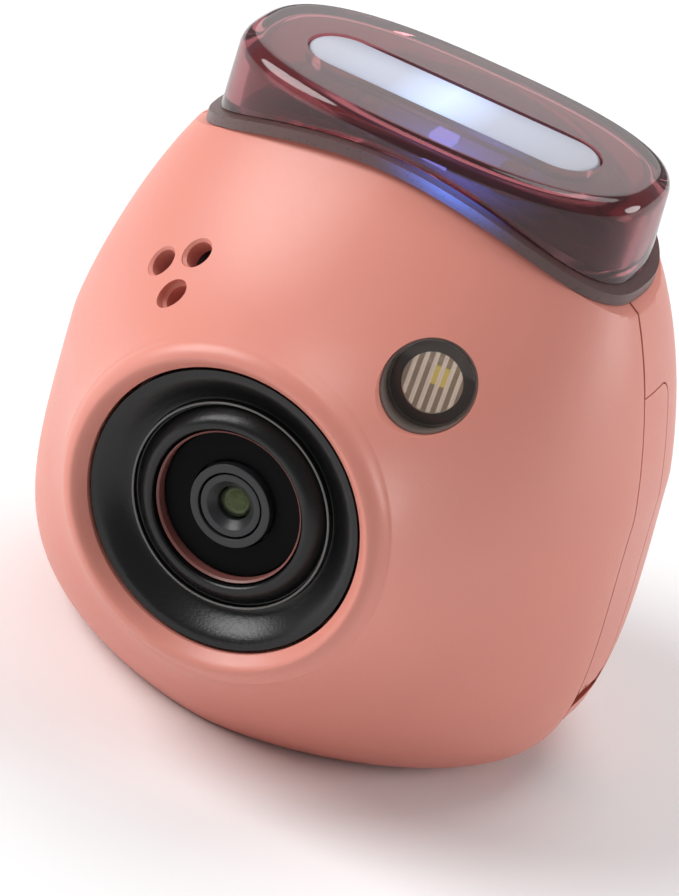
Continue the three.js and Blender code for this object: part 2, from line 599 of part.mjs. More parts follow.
function modeKnob() {
  const x = MODE.x - MODE.travel / 2;
  const thumb = slotBar(1.7, 1.1, 0.3, 2.9, x, MODE.y);
  const flange = box([x - 2.4, x + 2.4], [MODE.y - 1.8, MODE.y + 1.8], [2.8, 3.3]);
  return join([thumb, flange, box([x - 0.6, x + 0.6], [MODE.y - 0.6, MODE.y + 0.6], [3.2, 4.2])]);
}

const modeSwitch = () => box([MODE.x - 4, MODE.x + 4], [MODE.y - 1.7, MODE.y + 1.7], [4.5, 6.4]);
const baseBoard = () => box([-9, 9], [2.2, 7.8], [6.6, 7.4]);

// ---- Assembly ----
const colour = (hex, roughness, metalness = 0, opacity = 1) => new THREE.MeshStandardMaterial({
  color: hex, roughness, metalness, opacity, transparent: opacity < 1,
});
const FINISH = {
  pink: colour(0xe9a698, 0.42),
  smoke: colour(0x5a2b3a, 0.15, 0, 0.45),
  frost: colour(0xb9a3a6, 0.5, 0, 0.7),
  light: colour(0xf2f6ff, 0.5),
  black: colour(0x1c1c1e, 0.45),
  plate: colour(0x26262a, 0.6),
  grey: colour(0x6f7073, 0.5),
  glass: colour(0x31403a, 0.05, 0, 0.5),
  clear: colour(0xcfc6bd, 0.1, 0, 0.5),
  mirror: colour(0xd8d8d8, 0.2, 1),
  chip: colour(0xe8c64a, 0.4),
  board: colour(0x1f5a3c, 0.5),
  dark: colour(0x202226, 0.5),
  steel: colour(0xb8babd, 0.35, 1),
  brass: colour(0xb8925a, 0.35, 1),
  cell: colour(0x9aa3ad, 0.4),
  frame: colour(0xd9d9d6, 0.6),
  red: colour(0xb02a25, 0.5),
};

const camera = new THREE.Group();

function add(name, shape, material, group = camera) {
  const mesh = new THREE.Mesh(shape.isBufferGeometry ? shape : geometryOf(shape), material);
  mesh.name = name;
  group.add(mesh);
}

add('front_shell', frontShell(), FINISH.pink);
add('rear_shell', rearShell(), FINISH.pink);
add('port_cover', portCover(), FINISH.pink);
add('cover_hinge_pin', hingePin(), FINISH.steel);
add('usb_c_socket', usbSocket(), FINISH.steel);
add('card_slot', cardSlot(), FINISH.steel);
add('port_board', portBoard(), FINISH.board);
add('strap_bar', strapBar(), FINISH.pink);

add('top_deck', topDeck(), FINISH.frost);
add('top_cap', topCap(), FINISH.smoke);
add('light_bar', lightBar(), FINISH.light);
add('status_board', statusBoard(), FINISH.dark);
add('status_led_left', statusLed(-5.5), FINISH.light);
add('status_led_middle', statusLed(0), FINISH.light);
add('status_led_right', statusLed(5.5), FINISH.light);
add('deck_screw_left', deckScrew(DECK_SCREWS[0]), FINISH.steel);
add('deck_screw_right', deckScrew(DECK_SCREWS[1]), FINISH.steel);

add('lens_bezel', lensBezel(), FINISH.black);
add('lens_sleeve', lensSleeve(), FINISH.pink);
add('lens_plate', lensPlate(), FINISH.plate);
add('lens_ring', lensRing(), FINISH.grey);
add('lens_barrel', lensBarrel(), FINISH.grey);
add('lens_front_element', lensElement(), FINISH.glass);
add('lens_holder', lensHolder(), FINISH.black);
add('sensor_window', sensorWindow(), FINISH.glass);
add('image_sensor', imageSensor(), FINISH.dark);
add('sensor_board', sensorBoard(), FINISH.board);
add('sensor_flex', sensorFlex(), FINISH.brass);

const flashGroup = new THREE.Group();
flashGroup.applyMatrix4(FLASH);
camera.add(flashGroup);
add('flash_bezel', solidGeometry(flashBezel()), FINISH.dark, flashGroup);
add('flash_window', solidGeometry(flashWindow()), FINISH.clear, flashGroup);
add('flash_reflector', solidGeometry(flashReflector()), FINISH.mirror, flashGroup);
add('flash_led', solidGeometry(flashLed()), FINISH.chip, flashGroup);
add('flash_board', solidGeometry(flashBoard()), FINISH.board, flashGroup);

const speakerGroup = new THREE.Group();
speakerGroup.applyMatrix4(SPEAKER);
camera.add(speakerGroup);
add('speaker_mesh', solidGeometry(speakerMesh()), FINISH.dark, speakerGroup);
add('speaker', solidGeometry(speakerDriver()), FINISH.dark, speakerGroup);

add('chassis', chassis(), FINISH.frame);
bossPlaces.forEach((place, i) => add(`chassis_screw_${i + 1}`, chassisScrew(place), FINISH.steel));
add('main_board', mainBoard(), FINISH.board);
add('processor', processor(), FINISH.dark);
add('memory_chip', memoryChip(), FINISH.dark);
add('battery', battery(), FINISH.cell);
add('battery_lead_red', batteryLead(-4, 27), FINISH.red);
add('battery_lead_black', batteryLead(-2, 27), FINISH.dark);

add('shutter_bezel', shutterBezel(), FINISH.black);
add('shutter_button', shutterButton(), FINISH.pink);
add('shutter_switch', shutterSwitch(), FINISH.dark);
add('shutter_board', shutterBoard(), FINISH.board);
add('shutter_screw_low', shutterScrew(shutterPosts[0]), FINISH.steel);
add('shutter_screw_high', shutterScrew(shutterPosts[1]), FINISH.steel);

add('base_plate', basePlate(), FINISH.dark);
add('tripod_socket', tripodSocket(), FINISH.brass);
add('power_button', powerButton(), FINISH.grey);
add('power_switch', powerSwitch(), FINISH.steel);
add('mode_knob', modeKnob(), FINISH.grey);
add('mode_switch', modeSwitch(), FINISH.steel);
add('base_board', baseBoard(), FINISH.board);

function solidGeometry(geometry) {
  return geometryOf(solid(geometry));
}

export default camera;
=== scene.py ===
from math import cos, pi, radians, sin

import bmesh
import bpy
import numpy as np
from mathutils import Matrix, Vector


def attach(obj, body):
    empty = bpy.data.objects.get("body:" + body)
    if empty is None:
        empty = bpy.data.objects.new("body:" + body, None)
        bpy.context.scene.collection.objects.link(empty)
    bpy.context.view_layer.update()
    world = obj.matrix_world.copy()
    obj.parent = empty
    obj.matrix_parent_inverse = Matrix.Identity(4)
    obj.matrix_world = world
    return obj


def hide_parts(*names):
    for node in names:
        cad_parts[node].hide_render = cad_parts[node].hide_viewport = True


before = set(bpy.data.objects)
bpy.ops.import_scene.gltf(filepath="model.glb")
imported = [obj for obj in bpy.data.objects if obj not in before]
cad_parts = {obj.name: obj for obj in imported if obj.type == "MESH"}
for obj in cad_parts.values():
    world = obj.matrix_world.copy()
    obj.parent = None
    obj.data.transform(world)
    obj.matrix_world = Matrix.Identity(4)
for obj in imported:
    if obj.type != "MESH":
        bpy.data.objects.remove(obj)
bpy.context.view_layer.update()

MM = 0.001
scene = bpy.context.scene


# ---- Studio ----
# A camera that looks down on the lens side and is rolled a little, over a plain pale floor.
# One large soft lamp from the upper left, weaker ones on the right, overhead and behind.
AIM = Vector((0, 0, 0.022))
CAMERA_TURN, CAMERA_RISE, CAMERA_ROLL = radians(18.856), radians(26.888), radians(16.511)
CAMERA_DISTANCE = 0.45696
FOCAL_LENGTH = 267.7
FRAMING = (-0.0262, -0.0627)

towards = Vector((sin(CAMERA_TURN) * cos(CAMERA_RISE),
                  -cos(CAMERA_TURN) * cos(CAMERA_RISE),
                  sin(CAMERA_RISE)))
level_right = Vector((cos(CAMERA_TURN), sin(CAMERA_TURN), 0))
level_up = towards.cross(level_right)
view_right = level_right * cos(CAMERA_ROLL) + level_up * sin(CAMERA_ROLL)
view_up = level_up * cos(CAMERA_ROLL) - level_right * sin(CAMERA_ROLL)

camera_data = bpy.data.cameras.new("camera")
camera_data.lens = FOCAL_LENGTH
camera_data.shift_x, camera_data.shift_y = FRAMING
camera_data.clip_start, camera_data.clip_end = 0.01, 20
camera = bpy.data.objects.new("camera", camera_data)
camera.matrix_world = (Matrix.Translation(AIM + towards * CAMERA_DISTANCE)
                       @ Matrix((view_right, view_up, towards)).transposed().to_4x4())
scene.collection.objects.link(camera)
scene.camera = camera
scene.view_settings.view_transform = "Standard"


def soft_lamp(name, direction, distance, size, watts):
    """A round lamp, size metres across, that shines on the camera's middle."""
    data = bpy.data.lights.new(name, "AREA")
    data.shape = "DISK"
    data.size = size
    data.energy = watts
    lamp = bpy.data.objects.new(name, data)
    lamp.location = AIM + direction.normalized() * distance
    lamp.rotation_euler = (-direction).to_track_quat("-Z", "Y").to_euler()
    scene.collection.objects.link(lamp)


soft_lamp("key_lamp", Vector((-0.8, -0.38, 0.72)), 0.5, 0.34, 2.3)
soft_lamp("side_lamp", Vector((1, 0.5, 0.3)), 0.55, 0.25, 1.1)
soft_lamp("top_lamp", Vector((0.1, 0.35, 1)), 0.5, 0.3, 0.7)
soft_lamp("back_lamp", Vector((-0.4, 1, 0.6)), 0.6, 0.4, 0.5)

SKY_LIGHT, SKY_SEEN = 0.28, 0.62
world = bpy.data.worlds.new("studio")
scene.world = world
world.use_nodes = True
sky = world.node_tree.nodes["Background"]
sky.inputs["Color"].default_value = (0.96, 0.97, 1, 1)
seen = world.node_tree.nodes.new("ShaderNodeLightPath")
backdrop = world.node_tree.nodes.new("ShaderNodeMath")
backdrop.operation = "MULTIPLY_ADD"
backdrop.inputs[1].default_value = SKY_SEEN
backdrop.inputs[2].default_value = SKY_LIGHT
world.node_tree.links.new(seen.outputs["Is Camera Ray"], backdrop.inputs[0])
world.node_tree.links.new(backdrop.outputs[0], sky.inputs["Strength"])

# The paper grows a little brighter far from the camera body, so its edge melts into the backdrop.
FLOOR, FLOOR_GLOW = 4.0, 0.66
GLOW_START, GLOW_FULL = 0.12, 0.75
floor_mesh = bpy.data.meshes.new("floor")
floor_mesh.from_pydata([(-FLOOR, -FLOOR, 0), (FLOOR, -FLOOR, 0), (FLOOR, FLOOR, 0), (-FLOOR, FLOOR, 0)],
                       [], [(0, 1, 2, 3)])
floor = bpy.data.objects.new("floor", floor_mesh)
scene.collection.objects.link(floor)
floor_material = bpy.data.materials.new("floor_paper")
floor_material.use_nodes = True
floor_tree = floor_material.node_tree
floor_shader = floor_tree.nodes["Principled BSDF"]
floor_shader.inputs["Base Color"].default_value = (0.93, 0.93, 0.93, 1)
floor_shader.inputs["Roughness"].default_value = 0.9
floor_shader.inputs["Specular IOR Level"].default_value = 0.1
floor_shader.inputs["Emission Strength"].default_value = 1.0
floor_place = floor_tree.nodes.new("ShaderNodeTexCoord")
floor_away = floor_tree.nodes.new("ShaderNodeVectorMath")
floor_away.operation = "LENGTH"
floor_far = floor_tree.nodes.new("ShaderNodeMapRange")
floor_far.inputs["From Min"].default_value = GLOW_START
floor_far.inputs["From Max"].default_value = GLOW_FULL
floor_far.inputs["To Max"].default_value = FLOOR_GLOW
floor_tree.links.new(floor_place.outputs["Object"], floor_away.inputs[0])
floor_tree.links.new(floor_away.outputs["Value"], floor_far.inputs["Value"])
floor_tree.links.new(floor_far.outputs["Result"], floor_shader.inputs["Emission Color"])
floor_mesh.materials.append(floor_material)


# ---- Two moulded shells ----
# The body is a rounded pear-like form moulded in satin pink plastic, in a front and a rear half that
# snap together on a fine seam. The front half carries the raised lip round the lens, and a tongue
# that closes the seam from inside on the side away from the cover.
SEAM_Y = 0.3
SEAM_EDGE = {"front": 0.19, "rear": 0.42}
WALL = 1.6
PROFILE_TOP = 41.8
ARCH_Z, ARCH_FALL = 41.6, 0.019
LENS_Y, LENS_Z = -20.5, 20.4
CREST_Y = -21.5
BORE_R = 10.1
BODY_CENTRE = (0.0, -4.0, LENS_Z)
# Each outline is two curves of (reach, height), from the base up.
SIDE = (((12.8, 0), (23.3, 0), (21.15, 10.4), (21.15, 21.7)),
        ((21.15, 21.7), (21.15, 22), (19.5, 36), (12.8, 41.8)))
FRONT = (((11.6, 0), (12.8, 0), (22.3, 10.9), (22.3, 21.3)),
         ((22.3, 21.3), (22.3, 26.2), (16.9, 32.7), (6.6, 41.8)))
REAR = (((12.4, 0), (17.7, 0), (20.2, 5.6), (20.2, 15)),
        ((20.2, 15), (20.2, 21.4), (17.2, 33), (10.8, 41.8)))
FRONT_POWER, REAR_POWER = 1.76, 2.57
LIP_R, LIP_EDGE, LIP_SLOPE, LIP_MIDDLE = 11.9, 1.0, 0.2, 20.7
DISH_R, DISH_WIDTH, DISH_DEPTH = 11.0, 0.9, 0.9
FILLET_R, FILLET_WIDTH, FILLET = 10.9, 1.3, (0.2, 4.2)
SPEAKER_HOLES = ((-11.9, 31.1), (-9.5, 32.9), (-9.2, 30.4))
FLASH_PLACE, FLASH_HOLE_R = (9, 31.9), 3.14
BOSSES, BOSS_R, BOSS_HOLE_R = ((-11.5, 8), (11.5, 8), (-15, 23.5), (15, 23.5)), 1.9, 0.9
TONGUE_X, TONGUE_DEPTH, TONGUE_REACH = 6.8, 0.8, 1.25
WIDE, TALL = (-40, 40), (-5, 60)


def reach(curves, z):
    """How far an outline stands out at height z."""
    t = np.linspace(0, 1, 300)[:, None]
    weights = ((1 - t) ** 3, 3 * (1 - t) ** 2 * t, 3 * (1 - t) * t ** 2, t ** 3)
    points = np.vstack([sum(np.array(p) * k for p, k in zip(curve, weights)) for curve in curves])
    return np.interp(z, points[:, 1], points[:, 0])


def skin_gap(points, inset):
    """How far a point stands outside the body's skin, measured level, in millimetres."""
    x, y, z = points.T
    front = y < SEAM_Y
    side = reach(SIDE, z) - inset
    depth = np.where(front, reach(FRONT, z) + SEAM_Y, reach(REAR, z) - SEAM_Y) - inset
    power = np.where(front, FRONT_POWER, REAR_POWER)
    gauge = ((np.abs(x) / side) ** power + (np.abs(y - SEAM_Y) / depth) ** power) ** (1 / power)
    out = np.maximum(np.hypot(x, y - SEAM_Y), 1e-6)
    return out - out / np.maximum(gauge, out / 30)


def lip_gap(points):
    """The same for the raised lip round the lens: a short cone, rounded outside and dished inside."""
    x, y, z = points.T
    r = np.hypot(x, z - LENS_Z)
    outer = LIP_R + LIP_SLOPE * (y + LIP_MIDDLE)
    dish = DISH_DEPTH * np.clip((DISH_R - r) / DISH_WIDTH, 0, 1) ** 1.6
    across, ahead = r - outer + LIP_EDGE, CREST_Y + LIP_EDGE + dish - y
    corner = np.hypot(np.maximum(across, 0), np.maximum(ahead, 0))
    corner += np.minimum(np.maximum(across, ahead), 0)
    return np.maximum(corner - LIP_EDGE, y + 8)


def body_gap(points, inset, low, lipped):
    """The body's skin and lip joined by a soft fillet, between its flat base and its top."""
    gap = skin_gap(points, inset)
    if lipped:
        lip = lip_gap(points)
        r = np.hypot(points[:, 0], points[:, 2] - LENS_Z)
        blend = FILLET[0] + FILLET[1] * np.clip((r - FILLET_R) / FILLET_WIDTH, 0, 1)
        near = np.maximum(blend - np.abs(gap - lip), 0) / blend
        gap = np.minimum(gap, lip) - near ** 2 * blend / 4
    return np.maximum(gap, np.maximum(low - points[:, 2], points[:, 2] - PROFILE_TOP))


def new_piece(name, points, faces):
    """A mesh object from points in millimetres."""
    mesh = bpy.data.meshes.new(name)
    mesh.from_pydata((np.array(points, float) * MM).tolist(), [], faces)
    work = bmesh.new()
    work.from_mesh(mesh)
    bmesh.ops.remove_doubles(work, verts=work.verts, dist=1e-7)
    bmesh.ops.recalc_face_normals(work, faces=work.faces)
    work.to_mesh(mesh)
    work.free()
    piece = bpy.data.objects.new(name, mesh)
    scene.collection.objects.link(piece)
    return piece


def body_form(name, inset=0.0, low=0.0, lipped=False, around=96, bands=((0, 180, 60),)):
    """The body, or a smaller copy of it, as rays from its middle that stop at its skin."""
    angles = np.radians(np.concatenate([np.linspace(a, b, n, endpoint=False) for a, b, n in bands]))[1:]
    turn = np.linspace(0, 2 * pi, around, endpoint=False)
    phi, theta = np.meshgrid(angles, turn, indexing="ij")
    rays = np.stack([np.sin(phi) * np.cos(theta), -np.cos(phi), np.sin(phi) * np.sin(theta)], -1)
    rays = np.vstack([rays.reshape(-1, 3), [[0, -1, 0], [0, 1, 0]]])
    near, far = np.zeros(len(rays)), np.full(len(rays), 45.0)
    for _ in range(34):
        middle = (near + far) / 2
        inside = body_gap(np.array(BODY_CENTRE) + rays * middle[:, None], inset, low, lipped) < 0
        near, far = np.where(inside, middle, near), np.where(inside, far, middle)
    points = np.array(BODY_CENTRE) + rays * near[:, None]
    rows, faces = len(angles), []
    for i in range(rows - 1):
        for k in range(around):
            n = (k + 1) % around
            faces.append((i * around + k, i * around + n, (i + 1) * around + n, (i + 1) * around + k))
    for k in range(around):
        n = (k + 1) % around
        faces.append((rows * around, n, k))
        faces.append((rows * around + 1, (rows - 1) * around + k, (rows - 1) * around + n))
    return new_piece(name, points, faces)


def turned(name, profile, place=Matrix.Identity(4), around=96):
    """A turned piece about its own Y axis from (radius, along) points, put where place says."""
    points, rings = [], []
    for radius, along in profile:
        if radius < 1e-6:
            rings.append([len(points)] * around)
            points.append((0, along, 0))
        else:
            rings.append(list(range(len(points), len(points) + around)))
            points += [(radius * cos(2 * pi * k / around), along, radius * sin(2 * pi * k / around))
                       for k in range(around)]
    if profile[0][0] > 1e-6:
        rings.append(rings[0])
    faces = []
    for one, two in zip(rings, rings[1:]):
        for k in range(around):
            n = (k + 1) % around
            face = list(dict.fromkeys((one[k], one[n], two[n], two[k])))
            if len(face) > 2:
                faces.append(face)
    return new_piece(name, [place @ Vector(p) for p in points], faces)


def at_y(x=0, z=0):
    """The place of a turned piece that lies along Y."""
    return Matrix.Translation((x, 0, z))


def at_z(x=0, y=0):
    """The place of a turned piece that stands along Z."""
    return Matrix.Translation((x, y, 0)) @ Matrix.Rotation(pi / 2, 4, "X")


def rod(radius, low, high, place=Matrix.Identity(4), around=64):
    return turned("rod", [(0, low), (radius, low), (radius, high), (0, high)], place, around)


def prism(outline, low, high, place=Matrix.Identity(4)):
    """A flat outline in X and Y, raised along Z from low to high."""
    count = len(outline)
    points = [place @ Vector((x, y, z)) for z in (low, high) for x, y in outline]
    faces = [list(range(count))[::-1], list(range(count, 2 * count))]
    faces += [(k, (k + 1) % count, count + (k + 1) % count, count + k) for k in range(count)]
    return new_piece("prism", points, faces)


def block(x, y, z):
    """A box from (low, high) along each axis."""
    return prism([(x[0], y[0]), (x[1], y[0]), (x[1], y[1]), (x[0], y[1])], *z)


def combine(piece, tool, operation="DIFFERENCE"):
    """Cuts, keeps or adds the tool's shape, and takes the tool away."""
    modifier = piece.modifiers.new("combine", "BOOLEAN")
    modifier.object, modifier.operation, modifier.solver = tool, operation, "MANIFOLD"
    made = bpy.data.meshes.new_from_object(piece.evaluated_get(bpy.context.evaluated_depsgraph_get()))
    piece.modifiers.remove(modifier)
    old, piece.data = piece.data, made
    made.name = piece.name
    bpy.data.meshes.remove(old)
    bpy.data.objects.remove(tool)
    return piece


def copy_of(piece, name):
    twin = bpy.data.objects.new(name, piece.data.copy())
    scene.collection.objects.link(twin)
    return twin


def slab(low, high):
    """The space between two curves parallel to the arched top edge, right through the body."""
    xs = np.linspace(-24, 24, 97)
    edge = ARCH_Z - ARCH_FALL * xs ** 2
    lower = np.maximum(edge + low, TALL[0])
    outline = list(zip(xs, edge + high)) + list(zip(xs[::-1], lower[::-1]))
    return prism(outline, -30, 30, Matrix.Rotation(pi / 2, 4, "X"))


def front_frame(x, z, straight=0.0, sink=0.0):
    """Where the front skin lies at x and z; its own Y axis points into the body there.

    straight turns that axis towards dead ahead, and sink sets the place back along it.
    """
    def on_skin(x, z):
        across = abs(x / float(reach(SIDE, z))) ** FRONT_POWER
        depth = (float(reach(FRONT, z)) + SEAM_Y) * (1 - across) ** (1 / FRONT_POWER)
        return Vector((x, SEAM_Y - depth, z))
    step = 0.2
    place = on_skin(x, z)
    outward = (on_skin(x + step, z) - place).cross(on_skin(x, z + step) - place).normalized()
    outward = outward.slerp(Vector((0, -1, 0)), straight)
    turn = Vector((0, -1, 0)).rotation_difference(outward)
    return Matrix.Translation(place - outward * sink) @ turn.to_matrix().to_4x4()


FLASH = front_frame(*FLASH_PLACE, straight=0.55, sink=1.4)


def finish_piece(piece, material, body, slot, *nodes, crease=32):
    """Smooth shading with true edges, the material, and the body and CAD nodes it stands for; slot is not
    used.
    """
    piece.data.materials.clear()
    piece.data.materials.append(material)
    piece.data.shade_smooth()
    piece.data.set_sharp_from_angle(angle=radians(crease))
    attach(piece, body)
    if nodes:
        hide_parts(*nodes)
    return piece


def linear(red, green, blue):
    """A screen colour from 0 to 255 as the light it stands for."""
    return tuple(((c / 255 + 0.055) / 1.055) ** 2.4 if c > 10 else c / 3294
                 for c in (red, green, blue)) + (1,)


# Fine moulding grain and slow drift of tone, used by every plastic in the camera.
grain = bpy.data.node_groups.new("moulded_grain", "ShaderNodeTree")


def sockets(tree, way, *rows):
    """Names a node group's inputs or outputs, in order."""
    for label, kind in rows:
        tree.interface.new_socket(label, in_out=way, socket_type="NodeSocket" + kind)


sockets(grain, "INPUT", ("Colour", "Color"), ("Roughness", "Float"), ("Grain Scale", "Float"),
        ("Drift", "Float"))
sockets(grain, "OUTPUT", ("Colour", "Color"), ("Roughness", "Float"), ("Height", "Float"))


def chain(tree, source, target, out_label, in_label):
    tree.links.new(source.outputs[out_label], target.inputs[in_label])


def maths(tree, operation, *values):
    """A Math node whose inputs are sockets or numbers; gives back its output socket."""
    node = tree.nodes.new("ShaderNodeMath")
    node.operation = operation
    for i, value in enumerate(values):
        if isinstance(value, (int, float)):
            node.inputs[i].default_value = value
        else:
            tree.links.new(value, node.inputs[i])
    return node.outputs[0]


def scaled(tree, colour, value):
    """A colour socket times a value socket."""
    node = tree.nodes.new("ShaderNodeVectorMath")
    node.operation = "SCALE"
    tree.links.new(colour, node.inputs[0])
    tree.links.new(value, node.inputs["Scale"])
    return node.outputs[0]


def noise(tree, scale, detail=2.0):
    """Noise over Object coordinates; scale is a number or a socket."""
    place = tree.nodes.new("ShaderNodeTexCoord")
    node = tree.nodes.new("ShaderNodeTexNoise")
    node.inputs["Detail"].default_value = detail
    if isinstance(scale, (int, float)):
        node.inputs["Scale"].default_value = scale
    else:
        tree.links.new(scale, node.inputs["Scale"])
    chain(tree, place, node, "Object", "Vector")
    return node.outputs["Fac"]


given = grain.nodes.new("NodeGroupInput")
result = grain.nodes.new("NodeGroupOutput")
fine = noise(grain, given.outputs["Grain Scale"], 3.0)
slow = noise(grain, 90.0, 3.0)
tone = maths(grain, "MULTIPLY_ADD", maths(grain, "SUBTRACT", slow, 0.5), given.outputs["Drift"], 1.0)
grain.links.new(scaled(grain, given.outputs["Colour"], tone), result.inputs["Colour"])
rough = maths(grain, "MULTIPLY", maths(grain, "SUBTRACT", maths(grain, "ADD", fine, slow), 1.0), 0.16)
grain.links.new(maths(grain, "ADD", given.outputs["Roughness"], rough), result.inputs["Roughness"])
grain.links.new(fine, result.inputs["Height"])


def moulded(name, colour, roughness, grain_scale=5000.0, depth=0.00001, drift=0.05, **plain):
    """A plastic, metal or rubber with its own moulding grain; plain holds the shader's fixed values."""
    material = bpy.data.materials.new(name)
    material.use_nodes = True
    tree = material.node_tree
    shader = tree.nodes["Principled BSDF"]
    node = tree.nodes.new("ShaderNodeGroup")
    node.node_tree = grain
    node.inputs["Colour"].default_value = colour
    node.inputs["Roughness"].default_value = roughness
    node.inputs["Grain Scale"].default_value = grain_scale
    node.inputs["Drift"].default_value = drift
    bump = tree.nodes.new("ShaderNodeBump")
    bump.inputs["Strength"].default_value = 0.5
    bump.inputs["Distance"].default_value = depth
    chain(tree, node, shader, "Colour", "Base Color")
    chain(tree, node, shader, "Roughness", "Roughness")
    chain(tree, node, bump, "Height", "Height")
    chain(tree, bump, shader, "Normal", "Normal")
    for label, value in plain.items():
        shader.inputs[label.replace("_", " ")].default_value = value
    return material


SATIN_PINK = moulded("satin_pink", linear(216, 137, 122), 0.42, 3800.0, 0.000012, 0.04)

body = body_form("body", lipped=True, around=256,
                 bands=((0, 28, 6), (28, 52, 96), (52, 180, 128)))


def hollow_form():
    """The room inside the shells, cleared for the tube behind the lens."""
    room = body_form("hollow", WALL, WALL, around=128, bands=((0, 180, 90),))
    return combine(room, rod(12.4, -30, LENS_Y + 4.8, at_y(0, LENS_Z), 96))


combine(body, slab(-80, 0), "INTERSECT")
combine(body, rod(10.4, -1, WALL + 1, at_z(), 96))
front_shell = copy_of(body, "front_shell_moulding")
rear_shell = copy_of(body, "rear_shell_moulding")

combine(front_shell, block(WIDE, (WIDE[0], SEAM_EDGE["front"]), TALL), "INTERSECT")
combine(front_shell, hollow_form())
recess = [(0, -30), (BORE_R + 0.4, -30), (BORE_R + 0.4, CREST_Y - 0.1), (BORE_R, CREST_Y + 0.42),
          (BORE_R, LENS_Y + 3.2), (0, LENS_Y + 3.2)]
combine(front_shell, turned("recess", recess, at_y(0, LENS_Z), 192))
combine(front_shell, rod(5.6, -30, -10, at_y(0, LENS_Z), 96))
combine(front_shell, rod(FLASH_HOLE_R, -5, 4, FLASH, 96))
speaker_hole = [(0, -3), (1.2, -3), (1.2, -0.12), (1.0, 0.1), (1.0, 4), (0, 4)]
for x, z in SPEAKER_HOLES:
    combine(front_shell, turned("speaker_hole", speaker_hole, front_frame(x, z), 48))
for x, z in BOSSES:
    boss = turned("boss", [(BOSS_HOLE_R, -13.8), (BOSS_R, -13.8), (BOSS_R, -5.6), (BOSS_HOLE_R, -5.6)],
                  at_y(x, z), 32)
    combine(boss, body_form("trim", 0.5, 0.5), "INTERSECT")
    combine(front_shell, boss, "UNION")
tongue = body_form("tongue", TONGUE_DEPTH, TONGUE_DEPTH, around=128, bands=((0, 180, 90),))
combine(tongue, hollow_form())
combine(tongue, block((WIDE[0], TONGUE_X), (-0.6, TONGUE_REACH), TALL), "INTERSECT")
combine(tongue, rod(11.7, -1, 3.4, at_z(), 96))
combine(tongue, slab(-80, -0.3), "INTERSECT")
combine(front_shell, tongue, "UNION")
finish_piece(front_shell, SATIN_PINK, "body", "pink_shell", "front_shell")


# ---- Rear shell with the port bay and the strap pocket ----
# The rear half has a bay moulded in its side wall for the sockets, two lugs for the cover's pin and a
# pocket with an upright bar for a wrist strap. All are part of the same moulding.
COVER_FRONT, COVER_REAR, COVER_LOW, COVER_HIGH = 0.34, 4.9, 7.6, 30.4
COVER_CORNER, COVER_THICK = 1.4, 1.5
HINGE = Matrix.Translation((20, 2.7, 7.6)) @ Matrix.Rotation(0.05, 4, "Z")
PIN_R, KNUCKLE_R, SWEEP_R = 0.4, 0.9, 1.4
STRAP_X, STRAP_Y, STRAP_Z = 18.2, 2.5, 3.7
USB = ((9.4, 16.8), (1.3, 4.5), (20.8, 29.7))
CARD = ((4.9, 17.4), (2.1, 3.6), (8.7, 20.3))
SHUTTER_Z, SHUTTER_HOLE_R = 16.5, 8.2
ALONG_X = Matrix(((0, 0, 1, 0), (1, 0, 0, 0), (0, 1, 0, 0), (0, 0, 0, 1)))


def cover_outline(front, grow):
    """The cover's outline seen from the side, with its one round corner, raised along X."""
    bend = [(COVER_REAR - COVER_CORNER + (COVER_CORNER + grow) * cos(a),
             COVER_HIGH - COVER_CORNER + (COVER_CORNER + grow) * sin(a)) for a in np.linspace(0, pi / 2, 13)]
    outline = [(front, COVER_LOW), (COVER_REAR + grow, COVER_LOW)] + bend + [(front, COVER_HIGH + grow)]
    return prism(outline, 10, 30, ALONG_X)


combine(rear_shell, block(WIDE, (SEAM_EDGE["rear"], WIDE[1]), TALL), "INTERSECT")
combine(rear_shell, hollow_form())
CLEARANCE = 0.1
groove_depth = TONGUE_DEPTH - CLEARANCE
groove = body_form("groove", groove_depth, groove_depth, around=128, bands=((0, 180, 90),))
groove_span = (WIDE[0], TONGUE_X + CLEARANCE), (SEAM_Y - 0.3, TONGUE_REACH + CLEARANCE), TALL
combine(groove, block(*groove_span), "INTERSECT")
combine(rear_shell, groove)
bay = copy_of(body, "bay")
combine(bay, block((8, 30), (SEAM_EDGE["rear"], 6.7), (4.6, 32.2)), "INTERSECT")
combine(bay, body_form("bay_back", 4.8, 0.0))
strap_block = copy_of(body, "strap_block")
combine(strap_block, block((14, 30), (SEAM_EDGE["rear"], 5.7), (WALL, 6.7)), "INTERSECT")
combine(rear_shell, bay, "UNION")
combine(rear_shell, strap_block, "UNION")
deep = cover_outline(SEAM_Y + 0.8, 0.1)
combine(deep, body_form("deep_floor", 3.4, 0.0))
rebate = cover_outline(SEAM_Y - 1, 0.11)
combine(rebate, body_form("rebate_floor", COVER_THICK + 0.2, 0.0))
for tool in (deep, rebate, rod(SWEEP_R, -3, 2.4, HINGE)):
    combine(rear_shell, tool)
for near, far in ((-1.9, -1.1), (1.1, 1.9)):
    combine(rear_shell, rod(KNUCKLE_R, near, far, HINGE), "UNION")
    combine(rear_shell, prism([(-4, near), (0, near), (0, far), (-4, far)], -0.8, 0.8, HINGE), "UNION")
for (x, y, z), clear in ((USB, 0.25), (CARD, 0.2)):
    combine(rear_shell, block((x[0] - 1, x[1] + 4), (y[0] - clear, y[1] + clear),
                              (z[0] - clear, z[1] + clear)))
for tool in (
    rod(PIN_R + 0.12, -1.95, 1.95, HINGE, 32),
    rod(SHUTTER_HOLE_R, 12, 30, at_y(0, SHUTTER_Z), 128),
    block((STRAP_X - 2, 30), (SEAM_Y - 1, STRAP_Y + 1.9), (STRAP_Z - 1.6, STRAP_Z + 1.6)),
    rod(0.9, STRAP_Z - 2.3, STRAP_Z + 2.3, at_z(STRAP_X, STRAP_Y), 32),
):
    combine(rear_shell, tool)
